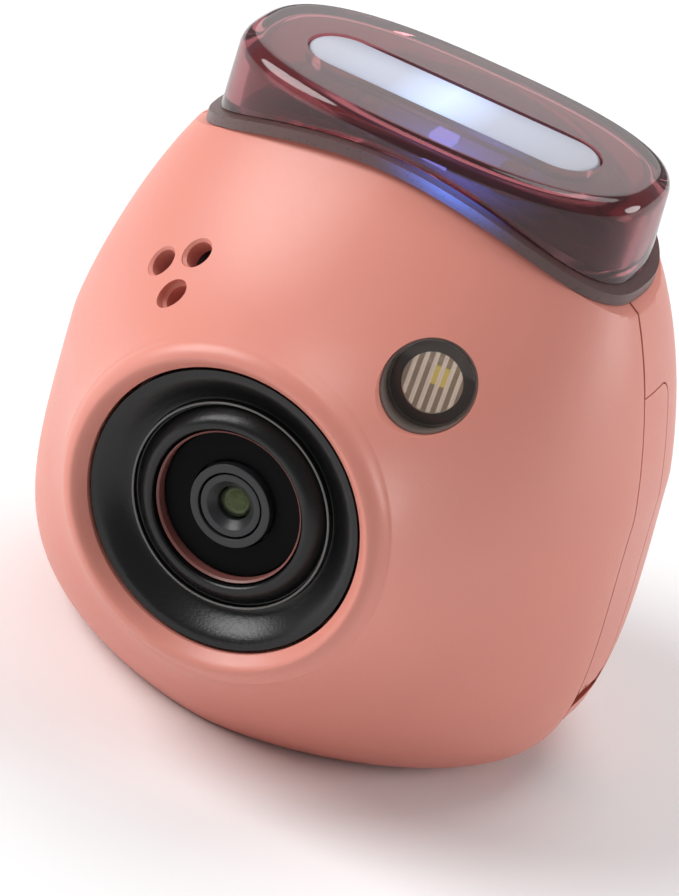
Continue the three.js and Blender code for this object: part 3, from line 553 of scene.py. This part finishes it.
finish_piece(rear_shell, SATIN_PINK, "body", "pink_shell", "rear_shell")


# ---- Side cover ----
# A curved pink door over the sockets, cut from the same form as the shells so that it lies flush.
# It swings down on a steel pin through the knuckle at its lower edge.
port_cover = copy_of(body, "side_cover")
combine(port_cover, cover_outline(COVER_FRONT, 0), "INTERSECT")
combine(port_cover, body_form("cover_back", COVER_THICK, 0.0))
for near, far in ((-2.6, -1.0), (1.0, 2.6)):
    combine(port_cover, rod(1.1, near, far, HINGE))
combine(port_cover, rod(KNUCKLE_R, -0.95, 0.95, HINGE), "UNION")
combine(port_cover, rod(PIN_R + 0.12, -2, 2, HINGE, 32))
finish_piece(port_cover, SATIN_PINK, "cover", "pink_shell", "port_cover")
bpy.data.objects.remove(body)


# ---- Top deck and cap ----
# A frosted flange follows the arched top of the body, screwed down through its tray, and a clear smoky
# burgundy cap stands on it. Light from small lamps comes out through a long white bar in the cap's roof.
CAP_X, CAP_Y, CAP_MIDDLE, CAP_POWER, CAP_TAPER, CAP_FILLET = 15.5, 8.5, 1.8, 2.65, 0.02, 1.2
TOP = 44.4
RIM, RIM_THICK, SINK = 0.8, 0.8, 3.2
BAR_LENGTH, BAR_WIDTH, BAR_THICK, BAR_Y = 11.0, 2.7, 1.5, 1.15


def pillow(name, grow, low, high, taper=0.0, fillet=0.0, around=200):
    """An upright piece with the cap's outline, its roof edge rounded by fillet."""
    levels = [(low, taper * (high - low)), (high - fillet, taper * fillet)]
    levels += [(high - fillet + fillet * sin(a), -fillet * (1 - cos(a)))
               for a in np.linspace(0, pi / 2, 11)[1:] if fillet]
    points, faces = [], []
    for z, wider in levels:
        for a in np.linspace(0, 2 * pi, around, endpoint=False):
            c, s = cos(a), sin(a)
            points.append(((CAP_X + grow + wider) * np.sign(c) * abs(c) ** (2 / CAP_POWER),
                           CAP_MIDDLE + (CAP_Y + grow + wider) * np.sign(s) * abs(s) ** (2 / CAP_POWER), z))
    for row in range(len(levels) - 1):
        for k in range(around):
            n = (k + 1) % around
            faces.append((row * around + k, row * around + n, (row + 1) * around + n, (row + 1) * around + k))
    top_row = (len(levels) - 1) * around
    faces += [list(range(around))[::-1], list(range(top_row, top_row + around))]
    return new_piece(name, points, faces)


def bar_form(name, length, width, levels, middle=(0, BAR_Y)):
    """A flat bar with round ends; levels are (z, inset) from the bottom up."""
    outline = [(length - width, a) for a in np.linspace(-pi / 2, pi / 2, 33)]
    outline += [(width - length, a) for a in np.linspace(pi / 2, 3 * pi / 2, 33)]
    points = [(middle[0] + x + (width - inset) * cos(a), middle[1] + (width - inset) * sin(a), z)
              for z, inset in levels for x, a in outline]
    count, faces = len(outline), []
    for row in range(len(levels) - 1):
        for k in range(count):
            n = (k + 1) % count
            faces.append((row * count + k, row * count + n, (row + 1) * count + n, (row + 1) * count + k))
    last = (len(levels) - 1) * count
    faces += [list(range(count))[::-1], list(range(last, last + count))]
    return new_piece(name, points, faces)


def clear_plastic(name, colour, roughness, passing, **plain):
    """A see-through moulding with very light haze in its gloss."""
    material = moulded(name, colour, roughness, 900.0, 0.000002, 0.12, **plain)
    material.node_tree.nodes["Principled BSDF"].inputs["Transmission Weight"].default_value = passing
    return material


SMOKE = clear_plastic("smoky_clear", linear(158, 90, 96), 0.05, 0.93, IOR=1.49)
FROST = clear_plastic("frosted_flange", linear(150, 118, 115), 0.38, 0.7, IOR=1.45)


def overlaid(material, mask, colour):
    """Puts a second colour over a material's own wherever the mask socket is above nothing."""
    tree = material.node_tree
    group = next(node for node in tree.nodes if node.type == "GROUP")
    mix = tree.nodes.new("ShaderNodeMix")
    mix.data_type = "RGBA"
    factor, first, second = mix.inputs[0], mix.inputs[6], mix.inputs[7]
    second.default_value = colour
    tree.links.new(mask, factor)
    tree.links.new(group.outputs["Colour"], first)
    tree.links.new(mix.outputs[2], tree.nodes["Principled BSDF"].inputs["Base Color"])


def axes(tree):
    """The X, Y and Z of Object coordinates, as sockets."""
    split = tree.nodes.new("ShaderNodeSeparateXYZ")
    chain(tree, tree.nodes.new("ShaderNodeTexCoord"), split, "Object", "Vector")
    return split.outputs


# Darker specks in the frosted plastic.
frost_tree = FROST.node_tree
specks = frost_tree.nodes.new("ShaderNodeTexVoronoi")
specks.inputs["Scale"].default_value = 2600.0
chain(frost_tree, frost_tree.nodes.new("ShaderNodeTexCoord"), specks, "Object", "Vector")
speck_mask = maths(frost_tree, "LESS_THAN", specks.outputs["Distance"], 0.22)
overlaid(FROST, maths(frost_tree, "MULTIPLY", speck_mask, 0.5), linear(104, 78, 78))

# Light that a lamp sheds on the piece it stands on. It fades with distance and stays inside the cap.
CAP_FRONT, CAP_EDGE = -0.0066, 0.0008
glow = bpy.data.node_groups.new("lamp_glow", "ShaderNodeTree")
sockets(glow, "INPUT", ("Colour", "Color"), ("Centre", "Vector"), ("Reach", "Float"))
sockets(glow, "OUTPUT", ("Colour", "Color"))
glow_in, glow_out = glow.nodes.new("NodeGroupInput"), glow.nodes.new("NodeGroupOutput")
glow_away = glow.nodes.new("ShaderNodeVectorMath")
glow_away.operation = "DISTANCE"
chain(glow, glow.nodes.new("ShaderNodeTexCoord"), glow_away, "Object", 0)
glow.links.new(glow_in.outputs["Centre"], glow_away.inputs[1])
away = maths(glow, "DIVIDE", glow_away.outputs["Value"], glow_in.outputs["Reach"])
fade = maths(glow, "POWER", maths(glow, "MAXIMUM", maths(glow, "SUBTRACT", 1.0, away), 0.0), 2.0)
inside_cap = maths(glow, "MULTIPLY", maths(glow, "ADD", axes(glow)["Y"], -CAP_FRONT), 1 / CAP_EDGE)
inside_cap.node.use_clamp = True
glow.links.new(scaled(glow, glow_in.outputs["Colour"], maths(glow, "MULTIPLY", fade, inside_cap)),
               glow_out.inputs["Colour"])


def lit(material, colour, centre, spread, strength):
    """Lamp light on a material; centre and spread in millimetres."""
    tree = material.node_tree
    node = tree.nodes.new("ShaderNodeGroup")
    node.node_tree = glow
    node.inputs["Colour"].default_value = colour
    node.inputs["Centre"].default_value = [c * MM for c in centre]
    node.inputs["Reach"].default_value = spread * MM
    shader = tree.nodes["Principled BSDF"]
    shader.inputs["Emission Strength"].default_value = strength
    tree.links.new(node.outputs["Colour"], shader.inputs["Emission Color"])


BLUE_LIGHT = (0.05, 0.22, 1.0, 1)
lit(FROST, BLUE_LIGHT, (3.5, -3.2, 41.6), 6, 3)

DECK_SCREWS, PILLARS, FORM_LOW = (-11.6, 11.6), (-7, 7), 25
deck_top = 0.1 + RIM_THICK
deck = slab(0.1, deck_top)
combine(deck, pillow("rim", RIM, FORM_LOW, 43.5), "INTERSECT")
tray = slab(deck_top - SINK - RIM_THICK, deck_top)
combine(tray, pillow("tray", -1.8, FORM_LOW, 43.5), "INTERSECT")
combine(deck, tray, "UNION")
tray_space = slab(deck_top - SINK, 6)
combine(tray_space, pillow("tray_space", -2.6, FORM_LOW, 47), "INTERSECT")
combine(deck, tray_space)
for x in PILLARS:
    combine(deck, rod(1.1, 37, 39.7, at_z(x, BAR_Y), 32), "UNION")
for x in DECK_SCREWS:
    combine(deck, rod(0.9, 20, 50, at_z(x, CAP_MIDDLE), 32))
deck.name = "frosted_deck"
finish_piece(deck, FROST, "body", "frosted_deck", "top_deck")

cap = pillow("clear_cap", 0, 28, TOP, CAP_TAPER, CAP_FILLET)
combine(cap, pillow("cap_inside", -1.2, 27, TOP - 1.2, CAP_TAPER, 0.8))
combine(cap, bar_form("bar_slot", BAR_LENGTH + 0.1, BAR_WIDTH + 0.1, [(42, 0), (50, 0)]))
combine(cap, slab(-80, 0.2 + RIM_THICK))
finish_piece(cap, SMOKE, "body", "smoke_cap", "top_cap", crease=40)

LIGHT_BAR = moulded("light_bar_diffuser", linear(172, 173, 182), 0.35, 2500.0, 0.000004, 0.04)
bar_tree = LIGHT_BAR.node_tree
bar_away = maths(bar_tree, "ABSOLUTE", maths(bar_tree, "ADD", axes(bar_tree)["X"], 0.0005))
bar_ramp = bar_tree.nodes.new("ShaderNodeValToRGB")
bar_tree.links.new(maths(bar_tree, "MULTIPLY", bar_away, 1 / (BAR_LENGTH * MM)), bar_ramp.inputs["Fac"])
ramp = bar_ramp.color_ramp.elements
ramp.new(0.35).color = (0.1, 0.13, 0.24, 1)
ramp[0].color = (0.5, 0.75, 1.3, 1)
ramp[-1].color = (0.02, 0.02, 0.03, 1)
bar_shader = bar_tree.nodes["Principled BSDF"]
bar_shader.inputs["Emission Strength"].default_value = 0.55
bar_tree.links.new(bar_ramp.outputs["Color"], bar_shader.inputs["Emission Color"])
bar_top = TOP - 0.05
light_bar = bar_form("light_bar_moulding", BAR_LENGTH, BAR_WIDTH,
                     [(bar_top - BAR_THICK, 0), (bar_top - 0.3, 0), (bar_top - 0.09, 0.09), (bar_top, 0.3)])
finish_piece(light_bar, LIGHT_BAR, "body", "light_guide", "light_bar", crease=50)


# ---- Lens ----
# A wide charcoal funnel with a bead round its inner mouth leads to a small fixed lens.
# Inside the mouth are a pink sleeve, a flat black plate, a grey ring, the barrel and the coated glass,
# and behind the glass a small ring, a second glass and the iris. All are turned or moulded round.
CHARCOAL = moulded("charcoal_satin", linear(11, 11, 12), 0.34, 4200.0, 0.00003, 0.1,
                    Specular_IOR_Level=0.42)
PLATE_BLACK = moulded("plate_black", linear(10, 10, 11), 0.5, 6000.0, 0.00001, 0.1, Specular_IOR_Level=0.06)
RING_GREY = moulded("ring_grey", linear(33, 34, 36), 0.4, 5200.0, 0.00002, 0.1)
# The sleeve is the shell's own pink painted darker: painted shade for the hollow of the lens mouth.
SHADED_SLEEVE_PINK = moulded("sleeve_pink_painted_shade", linear(122, 74, 68), 0.4, 3800.0, 0.000012, 0.05)
GREY = moulded("grey_satin", linear(104, 102, 104), 0.42, 5000.0, 0.00001, 0.06)

# A painted highlight: a thin lighter line is painted round the crest of the bead, for the light that the
# crest catches.
BEAD_R, BEAD_HIGHLIGHT_HALF_WIDTH = 7.24, 0.075
edge_tree = CHARCOAL.node_tree
edge_place = axes(edge_tree)
edge_up = maths(edge_tree, "SUBTRACT", edge_place["Z"], LENS_Z * MM)
edge_square = maths(edge_tree, "ADD", maths(edge_tree, "POWER", edge_place["X"], 2.0),
                    maths(edge_tree, "POWER", edge_up, 2.0))
edge_off = maths(edge_tree, "SUBTRACT", maths(edge_tree, "SQRT", edge_square), BEAD_R * MM)
bead_highlight_mask = maths(edge_tree, "LESS_THAN", maths(edge_tree, "ABSOLUTE", edge_off), BEAD_HIGHLIGHT_HALF_WIDTH * MM)
# Paints the highlight line onto the charcoal.
overlaid(CHARCOAL, bead_highlight_mask, linear(112, 109, 106))


def eased(profile, radius, steps=4):
    """The profile with each corner turned into a small round of about that radius."""
    closed = profile[0][0] > 1e-6
    points = [Vector(p) for p in profile]
    count, made = len(points), []
    for i, point in enumerate(points):
        if not closed and i in (0, count - 1):
            made.append(tuple(point))
            continue
        before, after = points[i - 1] - point, points[(i + 1) % count] - point
        back = min(radius, before.length * 0.45, after.length * 0.45)
        start, end = point + before.normalized() * back, point + after.normalized() * back
        for t in np.linspace(0, 1, steps + 1):
            made.append(tuple(start * (1 - t) ** 2 + point * 2 * t * (1 - t) + end * t ** 2))
    return made


def lens_turned(name, profile, radius, around=160):
    """A lens piece: depths count back from the funnel's front edge."""
    placed = [(r, LENS_Y + depth) for r, depth in profile]
    return turned(name, eased(placed, radius), at_y(0, LENS_Z), around)


funnel = [(9.86, 3.0), (9.86, 0.0), (9.7, 0.03)]
funnel += [(7.42 + 2.2 * (1 - t), 0.05 + 1.4 * t * t * (3 - 2 * t)) for t in np.linspace(0.04, 1, 18)]
funnel += [(7.38, 1.4), (7.34, 1.0), (7.24, 0.93), (7.14, 1.0), (7.1, 1.3), (7.0, 1.34)]
funnel += [(5.82 + 1.14 * (1 - t), 1.3 - 0.94 * sin(t * pi / 2)) for t in np.linspace(0.08, 1, 14)]
funnel += [(5.64, 0.39), (5.54, 0.5), (5.5, 0.68), (5.5, 3.0)]
finish_piece(lens_turned("lens_funnel", funnel, 0.03, 224), CHARCOAL, "body", "black_plastic", "lens_bezel",
             crease=50)
finish_piece(lens_turned("lens_mouth_sleeve", [(5.2, 0.9), (5.36, 0.75), (5.36, 2.4), (5.2, 2.4)], 0.04),
             SHADED_SLEEVE_PINK, "body", "pink_shell", "lens_sleeve")
finish_piece(lens_turned("lens_mouth_plate", [(3.08, 1.5), (5.1, 1.5), (5.1, 2.3), (3.08, 2.3)], 0.06),
             PLATE_BLACK, "body", "black_plastic", "lens_plate")
finish_piece(lens_turned("lens_grey_ring", [(2.34, 0.95), (2.95, 0.95), (2.95, 2.3), (2.34, 2.3)], 0.09),
             RING_GREY, "body", "grey_plastic", "lens_ring")
barrel = [(0.87, 6), (2.2, 6), (2.2, 1.05), (1.74, 1.05), (1.2, 1.62), (1.2, 3.0), (0.87, 3.1)]
finish_piece(lens_turned("lens_barrel_turned", barrel, 0.05, 128), RING_GREY, "body", "grey_plastic",
             "lens_barrel")

COATED = clear_plastic("coated_glass", linear(206, 214, 186), 0.02, 0.97, IOR=1.36,
                       Specular_Tint=(0.8, 1.0, 0.45, 1))
dome = [(0, 1.52)] + [(r, 1.52 + 0.36 * (r / 1.08) ** 2) for r in (0.2, 0.4, 0.6, 0.8, 0.95, 1.08)]
dome += [(1.1, 2.0), (1.1, 2.12), (0, 2.12)]
finish_piece(lens_turned("front_glass", dome, 0.01, 96), COATED, "body", "optical_glass",
             "lens_front_element")
inner_ring = lens_turned("lens_inner_ring", [(0.66, 2.2), (0.84, 2.2), (0.84, 2.5), (0.66, 2.5)], 0.05, 64)
finish_piece(inner_ring, GREY, "body", "grey_plastic")
second_glass = [(0, 2.4), (0.3, 2.44), (0.6, 2.56), (0.6, 2.7), (0, 2.7)]
finish_piece(lens_turned("second_glass", second_glass, 0.01, 64), COATED, "body", "optical_glass")
pupil = lens_turned("lens_iris", [(0.2, 2.8), (1.1, 2.8), (1.1, 2.94), (0.2, 2.94)], 0.02, 64)
finish_piece(pupil, PLATE_BLACK, "body", "black_plastic")


# ---- Flash ----
# A dark ring holds a clear round window at the bottom of a short round recess, turned a little towards
# dead ahead. Behind it lie a brown printed ring, clear upright ribs, a bright bowl and the yellow chip.
# The bowl, ribs and chip carry a faint glow of their own, for the light that the bowl gathers.
CLEAR = clear_plastic("flash_clear", linear(242, 236, 230), 0.03, 1.0, IOR=1.45)
RIB_CLEAR = clear_plastic("rib_clear", linear(236, 226, 218), 0.18, 0.3, IOR=1.5,
                          Emission_Color=linear(236, 226, 218), Emission_Strength=0.24)
MASK_BROWN = moulded("mask_brown", linear(66, 52, 47), 0.45, 5000.0, 0.000004, 0.1)
BOWL = moulded("bright_bowl", linear(176, 164, 156), 0.3, 6000.0, 0.000004, 0.05, Metallic=0.2,
               Emission_Color=linear(176, 164, 156), Emission_Strength=0.1)
YELLOW = moulded("lamp_yellow", linear(216, 200, 118), 0.4, 5000.0, 0.000004, 0.06,
                 Emission_Color=linear(216, 200, 118), Emission_Strength=0.3)
BEZEL_DARK = moulded("flash_ring_dark", linear(124, 112, 106), 0.35, 5000.0, 0.000008, 0.08)


def flash_turned(name, profile, radius):
    """A flash piece: depths count back from the window's front."""
    return turned(name, eased(profile, radius), FLASH, 96)


wall = [(2.98, -3), (3.1, -3), (3.1, 1.7), (2.82, 1.7), (2.82, 0.4), (2.98, 0.38)]
flash_ring = flash_turned("flash_ring", wall, 0.01)
ring_trim = body_form("ring_trim", 0.12, around=256, bands=((0, 28, 20), (28, 90, 160), (90, 180, 40)))
combine(flash_ring, ring_trim, "INTERSECT")
finish_piece(flash_ring, BEZEL_DARK, "body", "black_plastic", "flash_bezel")
finish_piece(flash_turned("flash_window_disc", [(0, 0.02), (2.95, 0.02), (2.95, 0.34), (0, 0.34)], 0.05),
             CLEAR, "body", "flash_clear", "flash_window")
finish_piece(flash_turned("flash_mask", [(2.06, 0.42), (2.8, 0.42), (2.8, 0.52), (2.06, 0.52)], 0.03),
             MASK_BROWN, "body", "black_plastic")
bowl = [(0, 2.4), (2.76, 2.4), (2.76, 0.56), (2.2, 0.56), (1.95, 1.4), (1.5, 1.85), (0, 1.95)]
finish_piece(flash_turned("flash_bowl", bowl, 0.05), BOWL, "body", "reflector", "flash_reflector")

CHIP_LOW, CHIP_HIGH, CHIP_FRONT, CHIP_BACK = -0.25, 0.95, 1.45, 1.9
chip = prism([(CHIP_LOW, CHIP_FRONT), (CHIP_HIGH, CHIP_FRONT), (CHIP_HIGH, CHIP_BACK), (CHIP_LOW, CHIP_BACK)],
             CHIP_LOW, CHIP_HIGH, FLASH)
finish_piece(chip, YELLOW, "body", "led_chip", "flash_led")


def rib_row():
    """A Geometry Nodes tree: a row of rounded ribs side by side, realized, with one material."""
    tree = bpy.data.node_groups.new("row_of_ribs", "GeometryNodeTree")
    sockets(tree, "INPUT", ("Geometry", "Geometry"), ("Count", "Int"), ("Spacing", "Float"),
            ("Radius", "Float"), ("Length", "Float"), ("Material", "Material"))
    sockets(tree, "OUTPUT", ("Geometry", "Geometry"))
    inputs, outputs = tree.nodes.new("NodeGroupInput"), tree.nodes.new("NodeGroupOutput")
    line = tree.nodes.new("GeometryNodeMeshLine")
    step = tree.nodes.new("ShaderNodeCombineXYZ")
    start = tree.nodes.new("ShaderNodeVectorMath")
    start.operation = "SCALE"
    tree.links.new(inputs.outputs["Count"], line.inputs["Count"])
    tree.links.new(inputs.outputs["Spacing"], step.inputs["X"])
    tree.links.new(step.outputs[0], line.inputs["Offset"])
    tree.links.new(step.outputs[0], start.inputs[0])
    half = maths(tree, "MULTIPLY", maths(tree, "SUBTRACT", inputs.outputs["Count"], 1.0), -0.5)
    tree.links.new(half, start.inputs["Scale"])
    tree.links.new(start.outputs[0], line.inputs["Start Location"])
    rib = tree.nodes.new("GeometryNodeMeshCylinder")
    rib.inputs["Vertices"].default_value = 16
    tree.links.new(inputs.outputs["Radius"], rib.inputs["Radius"])
    tree.links.new(inputs.outputs["Length"], rib.inputs["Depth"])
    spread = tree.nodes.new("GeometryNodeInstanceOnPoints")
    tree.links.new(line.outputs["Mesh"], spread.inputs["Points"])
    tree.links.new(rib.outputs["Mesh"], spread.inputs["Instance"])
    real = tree.nodes.new("GeometryNodeRealizeInstances")
    painted = tree.nodes.new("GeometryNodeSetMaterial")
    tree.links.new(spread.outputs[0], real.inputs[0])
    tree.links.new(real.outputs[0], painted.inputs["Geometry"])
    tree.links.new(inputs.outputs["Material"], painted.inputs["Material"])
    tree.links.new(painted.outputs[0], outputs.inputs[0])
    return tree


RIBS = rib_row()


def ribs(name, count, spacing, radius, length, material, place):
    """The row as a plain mesh, put where place says; sizes in millimetres."""
    piece = bpy.data.objects.new(name, bpy.data.meshes.new(name))
    scene.collection.objects.link(piece)
    modifier = piece.modifiers.new("ribs", "NODES")
    modifier.node_group = RIBS
    values = {"Count": count, "Spacing": spacing * MM, "Radius": radius * MM, "Length": length * MM,
              "Material": material}
    for item in RIBS.interface.items_tree:
        if item.in_out == "INPUT" and item.name in values:
            modifier[item.identifier] = values[item.name]
    made = bpy.data.meshes.new_from_object(piece.evaluated_get(bpy.context.evaluated_depsgraph_get()))
    piece.modifiers.clear()
    piece.data = made
    scale = Matrix.Scale(MM, 4)
    made.transform(scale @ place @ scale.inverted())
    return piece


window_ribs = ribs("flash_ribs", 6, 0.64, 0.15, 4.2, RIB_CLEAR, FLASH @ Matrix.Translation((0, 0.85, 0)))
disc = turned("rib_disc", [(0, 0.4), (2.02, 0.4), (2.02, 1.3), (0, 1.3)], FLASH, 96)
combine(window_ribs, disc, "INTERSECT")
finish_piece(window_ribs, RIB_CLEAR, "body", "flash_clear")


# ---- Shutter release ----
# A pink button as wide as a thumb, moulded with a stem, in a grey ring on the back. It presses straight
# in on a dome switch, and the ring is held by two screws from inside.
POST_Z = 8.6
ring = [(6.75, 13.2), (9.6, 13.2), (9.6, 14.4), (8, 14.4), (8, 19.9), (7.7, 20.5), (7.05, 20.5), (6.75, 20.2)]
shutter_ring = turned("shutter_ring", eased(ring, 0.12), at_y(0, SHUTTER_Z), 160)
post = [(0.85, 10.9), (1.3, 10.9), (1.3, 13.6), (0.85, 13.6)]
for z in (SHUTTER_Z - POST_Z, SHUTTER_Z + POST_Z):
    combine(shutter_ring, turned("post", post, at_y(0, z), 32), "UNION")
finish_piece(shutter_ring, GREY, "body", "grey_plastic", "shutter_bezel")
button = [(0, 13.6), (1.6, 13.6), (1.6, 18.2), (5.8, 18.2), (5.8, 16.6), (6.5, 16.6), (6.5, 20.5),
          (6.2, 21.02), (5.3, 21.3), (3.4, 21.34), (0, 21.3)]
finish_piece(turned("shutter_key", eased(button, 0.35), at_y(0, SHUTTER_Z), 160), SATIN_PINK, "shutter",
             "pink_shell", "shutter_button", crease=45)


# ---- Base ----
# A dark grey disc closes the bottom round a brass tripod thread, and holds the power button and the
# three-way mode switch, which stand just inside its face.
DARK = moulded("dark_base", linear(58, 56, 58), 0.5, 4200.0, 0.000014, 0.08)
BRASS = moulded("brass", linear(188, 150, 92), 0.3, 9000.0, 0.000004, 0.08, Metallic=1.0)
POWER, MODE, TRIPOD = (-6.2, 4.6), (4.2, 4.9), (0, -3.2)
disc_edge = [(0, 0), (9.9, 0), (10.2, 0.3), (10.2, 1.75), (11.4, 1.75), (11.4, 2.6), (0, 2.6)]
base = turned("base_disc", eased(disc_edge, 0.08), at_z(), 160)
for tool in (
    rod(4.35, -1, 5, at_z(*TRIPOD), 96),
    rod(2.0, -1, 5, at_z(*POWER), 64),
    rod(2.5, 1.85, 5, at_z(*POWER), 64),
    bar_form("mode_slot", 3.1, 1.3, [(-1, 0), (5, 0)], MODE),
):
    combine(base, tool)
finish_piece(base, DARK, "body", "grey_plastic", "base_plate")

THREAD_PITCH, THREAD_TURNS, THREAD_TOP, THREAD_R, ROOT_R = 1.27, 4, 5.0, 3.2, 3.62
insert = [(3.175, 0.05), (4.2, 0.05), (4.2, 2.75), (5.2, 2.75), (5.2, 3.6), (4.2, 3.6), (4.2, 6.4),
          (0.001, 6.4), (0.001, 5.2), (3.175, 5.2)]
for k in range(THREAD_TURNS):
    insert += [(THREAD_R, THREAD_TOP - k * THREAD_PITCH), (ROOT_R, THREAD_TOP - (k + 0.5) * THREAD_PITCH)]
socket = turned("tripod_insert", insert, at_z(*TRIPOD), 96)
finish_piece(socket, BRASS, "body", "brass", "tripod_socket")
power = [(0, 0.3), (1.6, 0.3), (1.8, 0.5), (1.8, 2.0), (2.3, 2.0), (2.3, 2.5), (0.8, 2.5), (0.8, 3.6),
         (0, 3.6)]
finish_piece(turned("power_key", eased(power, 0.1), at_z(*POWER), 96), GREY, "power", "grey_plastic",
             "power_button")


# ---- Pieces carried over from the frame ----
# Boards, chips, screws, sockets, leads and the cell keep their shapes and get their real finishes.
# One status lamp is lit, and its light falls on the board round it.
STEEL = moulded("steel", linear(176, 177, 180), 0.3, 9000.0, 0.000004, 0.1, Metallic=1.0)
SOLDER_MASK = moulded("solder_mask", linear(28, 92, 62), 0.4, 2600.0, 0.00001, 0.3)
CHIP = moulded("chip_black", linear(34, 34, 37), 0.5, 6000.0, 0.000008, 0.1)
FOIL = moulded("cell_foil", linear(168, 172, 178), 0.35, 700.0, 0.00004, 0.12, Metallic=0.8)
FRAME_WHITE = moulded("frame_plastic", linear(214, 214, 208), 0.5, 4200.0, 0.00001, 0.05)
RED = moulded("red_insulation", linear(172, 34, 30), 0.45, 3000.0, 0.00001, 0.1)
FILM = moulded("flex_film", linear(176, 112, 46), 0.3, 2000.0, 0.000006, 0.1)
SPEAKER_CLOTH = moulded("speaker_mesh", linear(120, 104, 100), 0.5, 4000.0, 0.00003, 0.6, Metallic=0.3)
GLASS = clear_plastic("sensor_glass", linear(190, 205, 215), 0.03, 0.9, IOR=1.5)
LAMP = moulded("status_lamp", linear(240, 244, 255), 0.4, 4000.0, 0.000004, 0.05,
               Emission_Color=(0.08, 0.3, 1.0, 1), Emission_Strength=5.0)
LAMP_OFF = moulded("status_lamp_off", linear(214, 206, 180), 0.4, 4000.0, 0.000004, 0.05)
LIT_BOARD = moulded("lit_board", linear(40, 78, 74), 0.4, 2600.0, 0.00001, 0.3)
lit(LIT_BOARD, BLUE_LIGHT, (1, 0, 40.5), 9, 4)
CARRIED = {
    STEEL: ("cover_hinge_pin", "usb_c_socket", "card_slot", "strap_bar", "deck_screw_left",
            "deck_screw_right", "chassis_screw_1", "chassis_screw_2", "chassis_screw_3",
            "chassis_screw_4", "shutter_screw_low", "shutter_screw_high", "power_switch",
            "mode_switch"),
    LIT_BOARD: ("status_board",),
    SOLDER_MASK: ("port_board", "sensor_board", "flash_board", "main_board", "shutter_board",
                  "base_board"),
    CHIP: ("lens_holder", "image_sensor", "speaker", "processor", "memory_chip", "shutter_switch",
           "battery_lead_black"),
    LAMP: ("status_led_middle",),
    LAMP_OFF: ("status_led_left", "status_led_right"),
    FOIL: ("battery",),
    FRAME_WHITE: ("chassis",),
    RED: ("battery_lead_red",),
    FILM: ("sensor_flex",),
    SPEAKER_CLOTH: ("speaker_mesh",),
    GLASS: ("sensor_window",),
    GREY: ("mode_knob",),
}
for material, nodes in CARRIED.items():
    for node in nodes:
        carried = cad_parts[node].data
        carried.materials.clear()
        carried.materials.append(material)
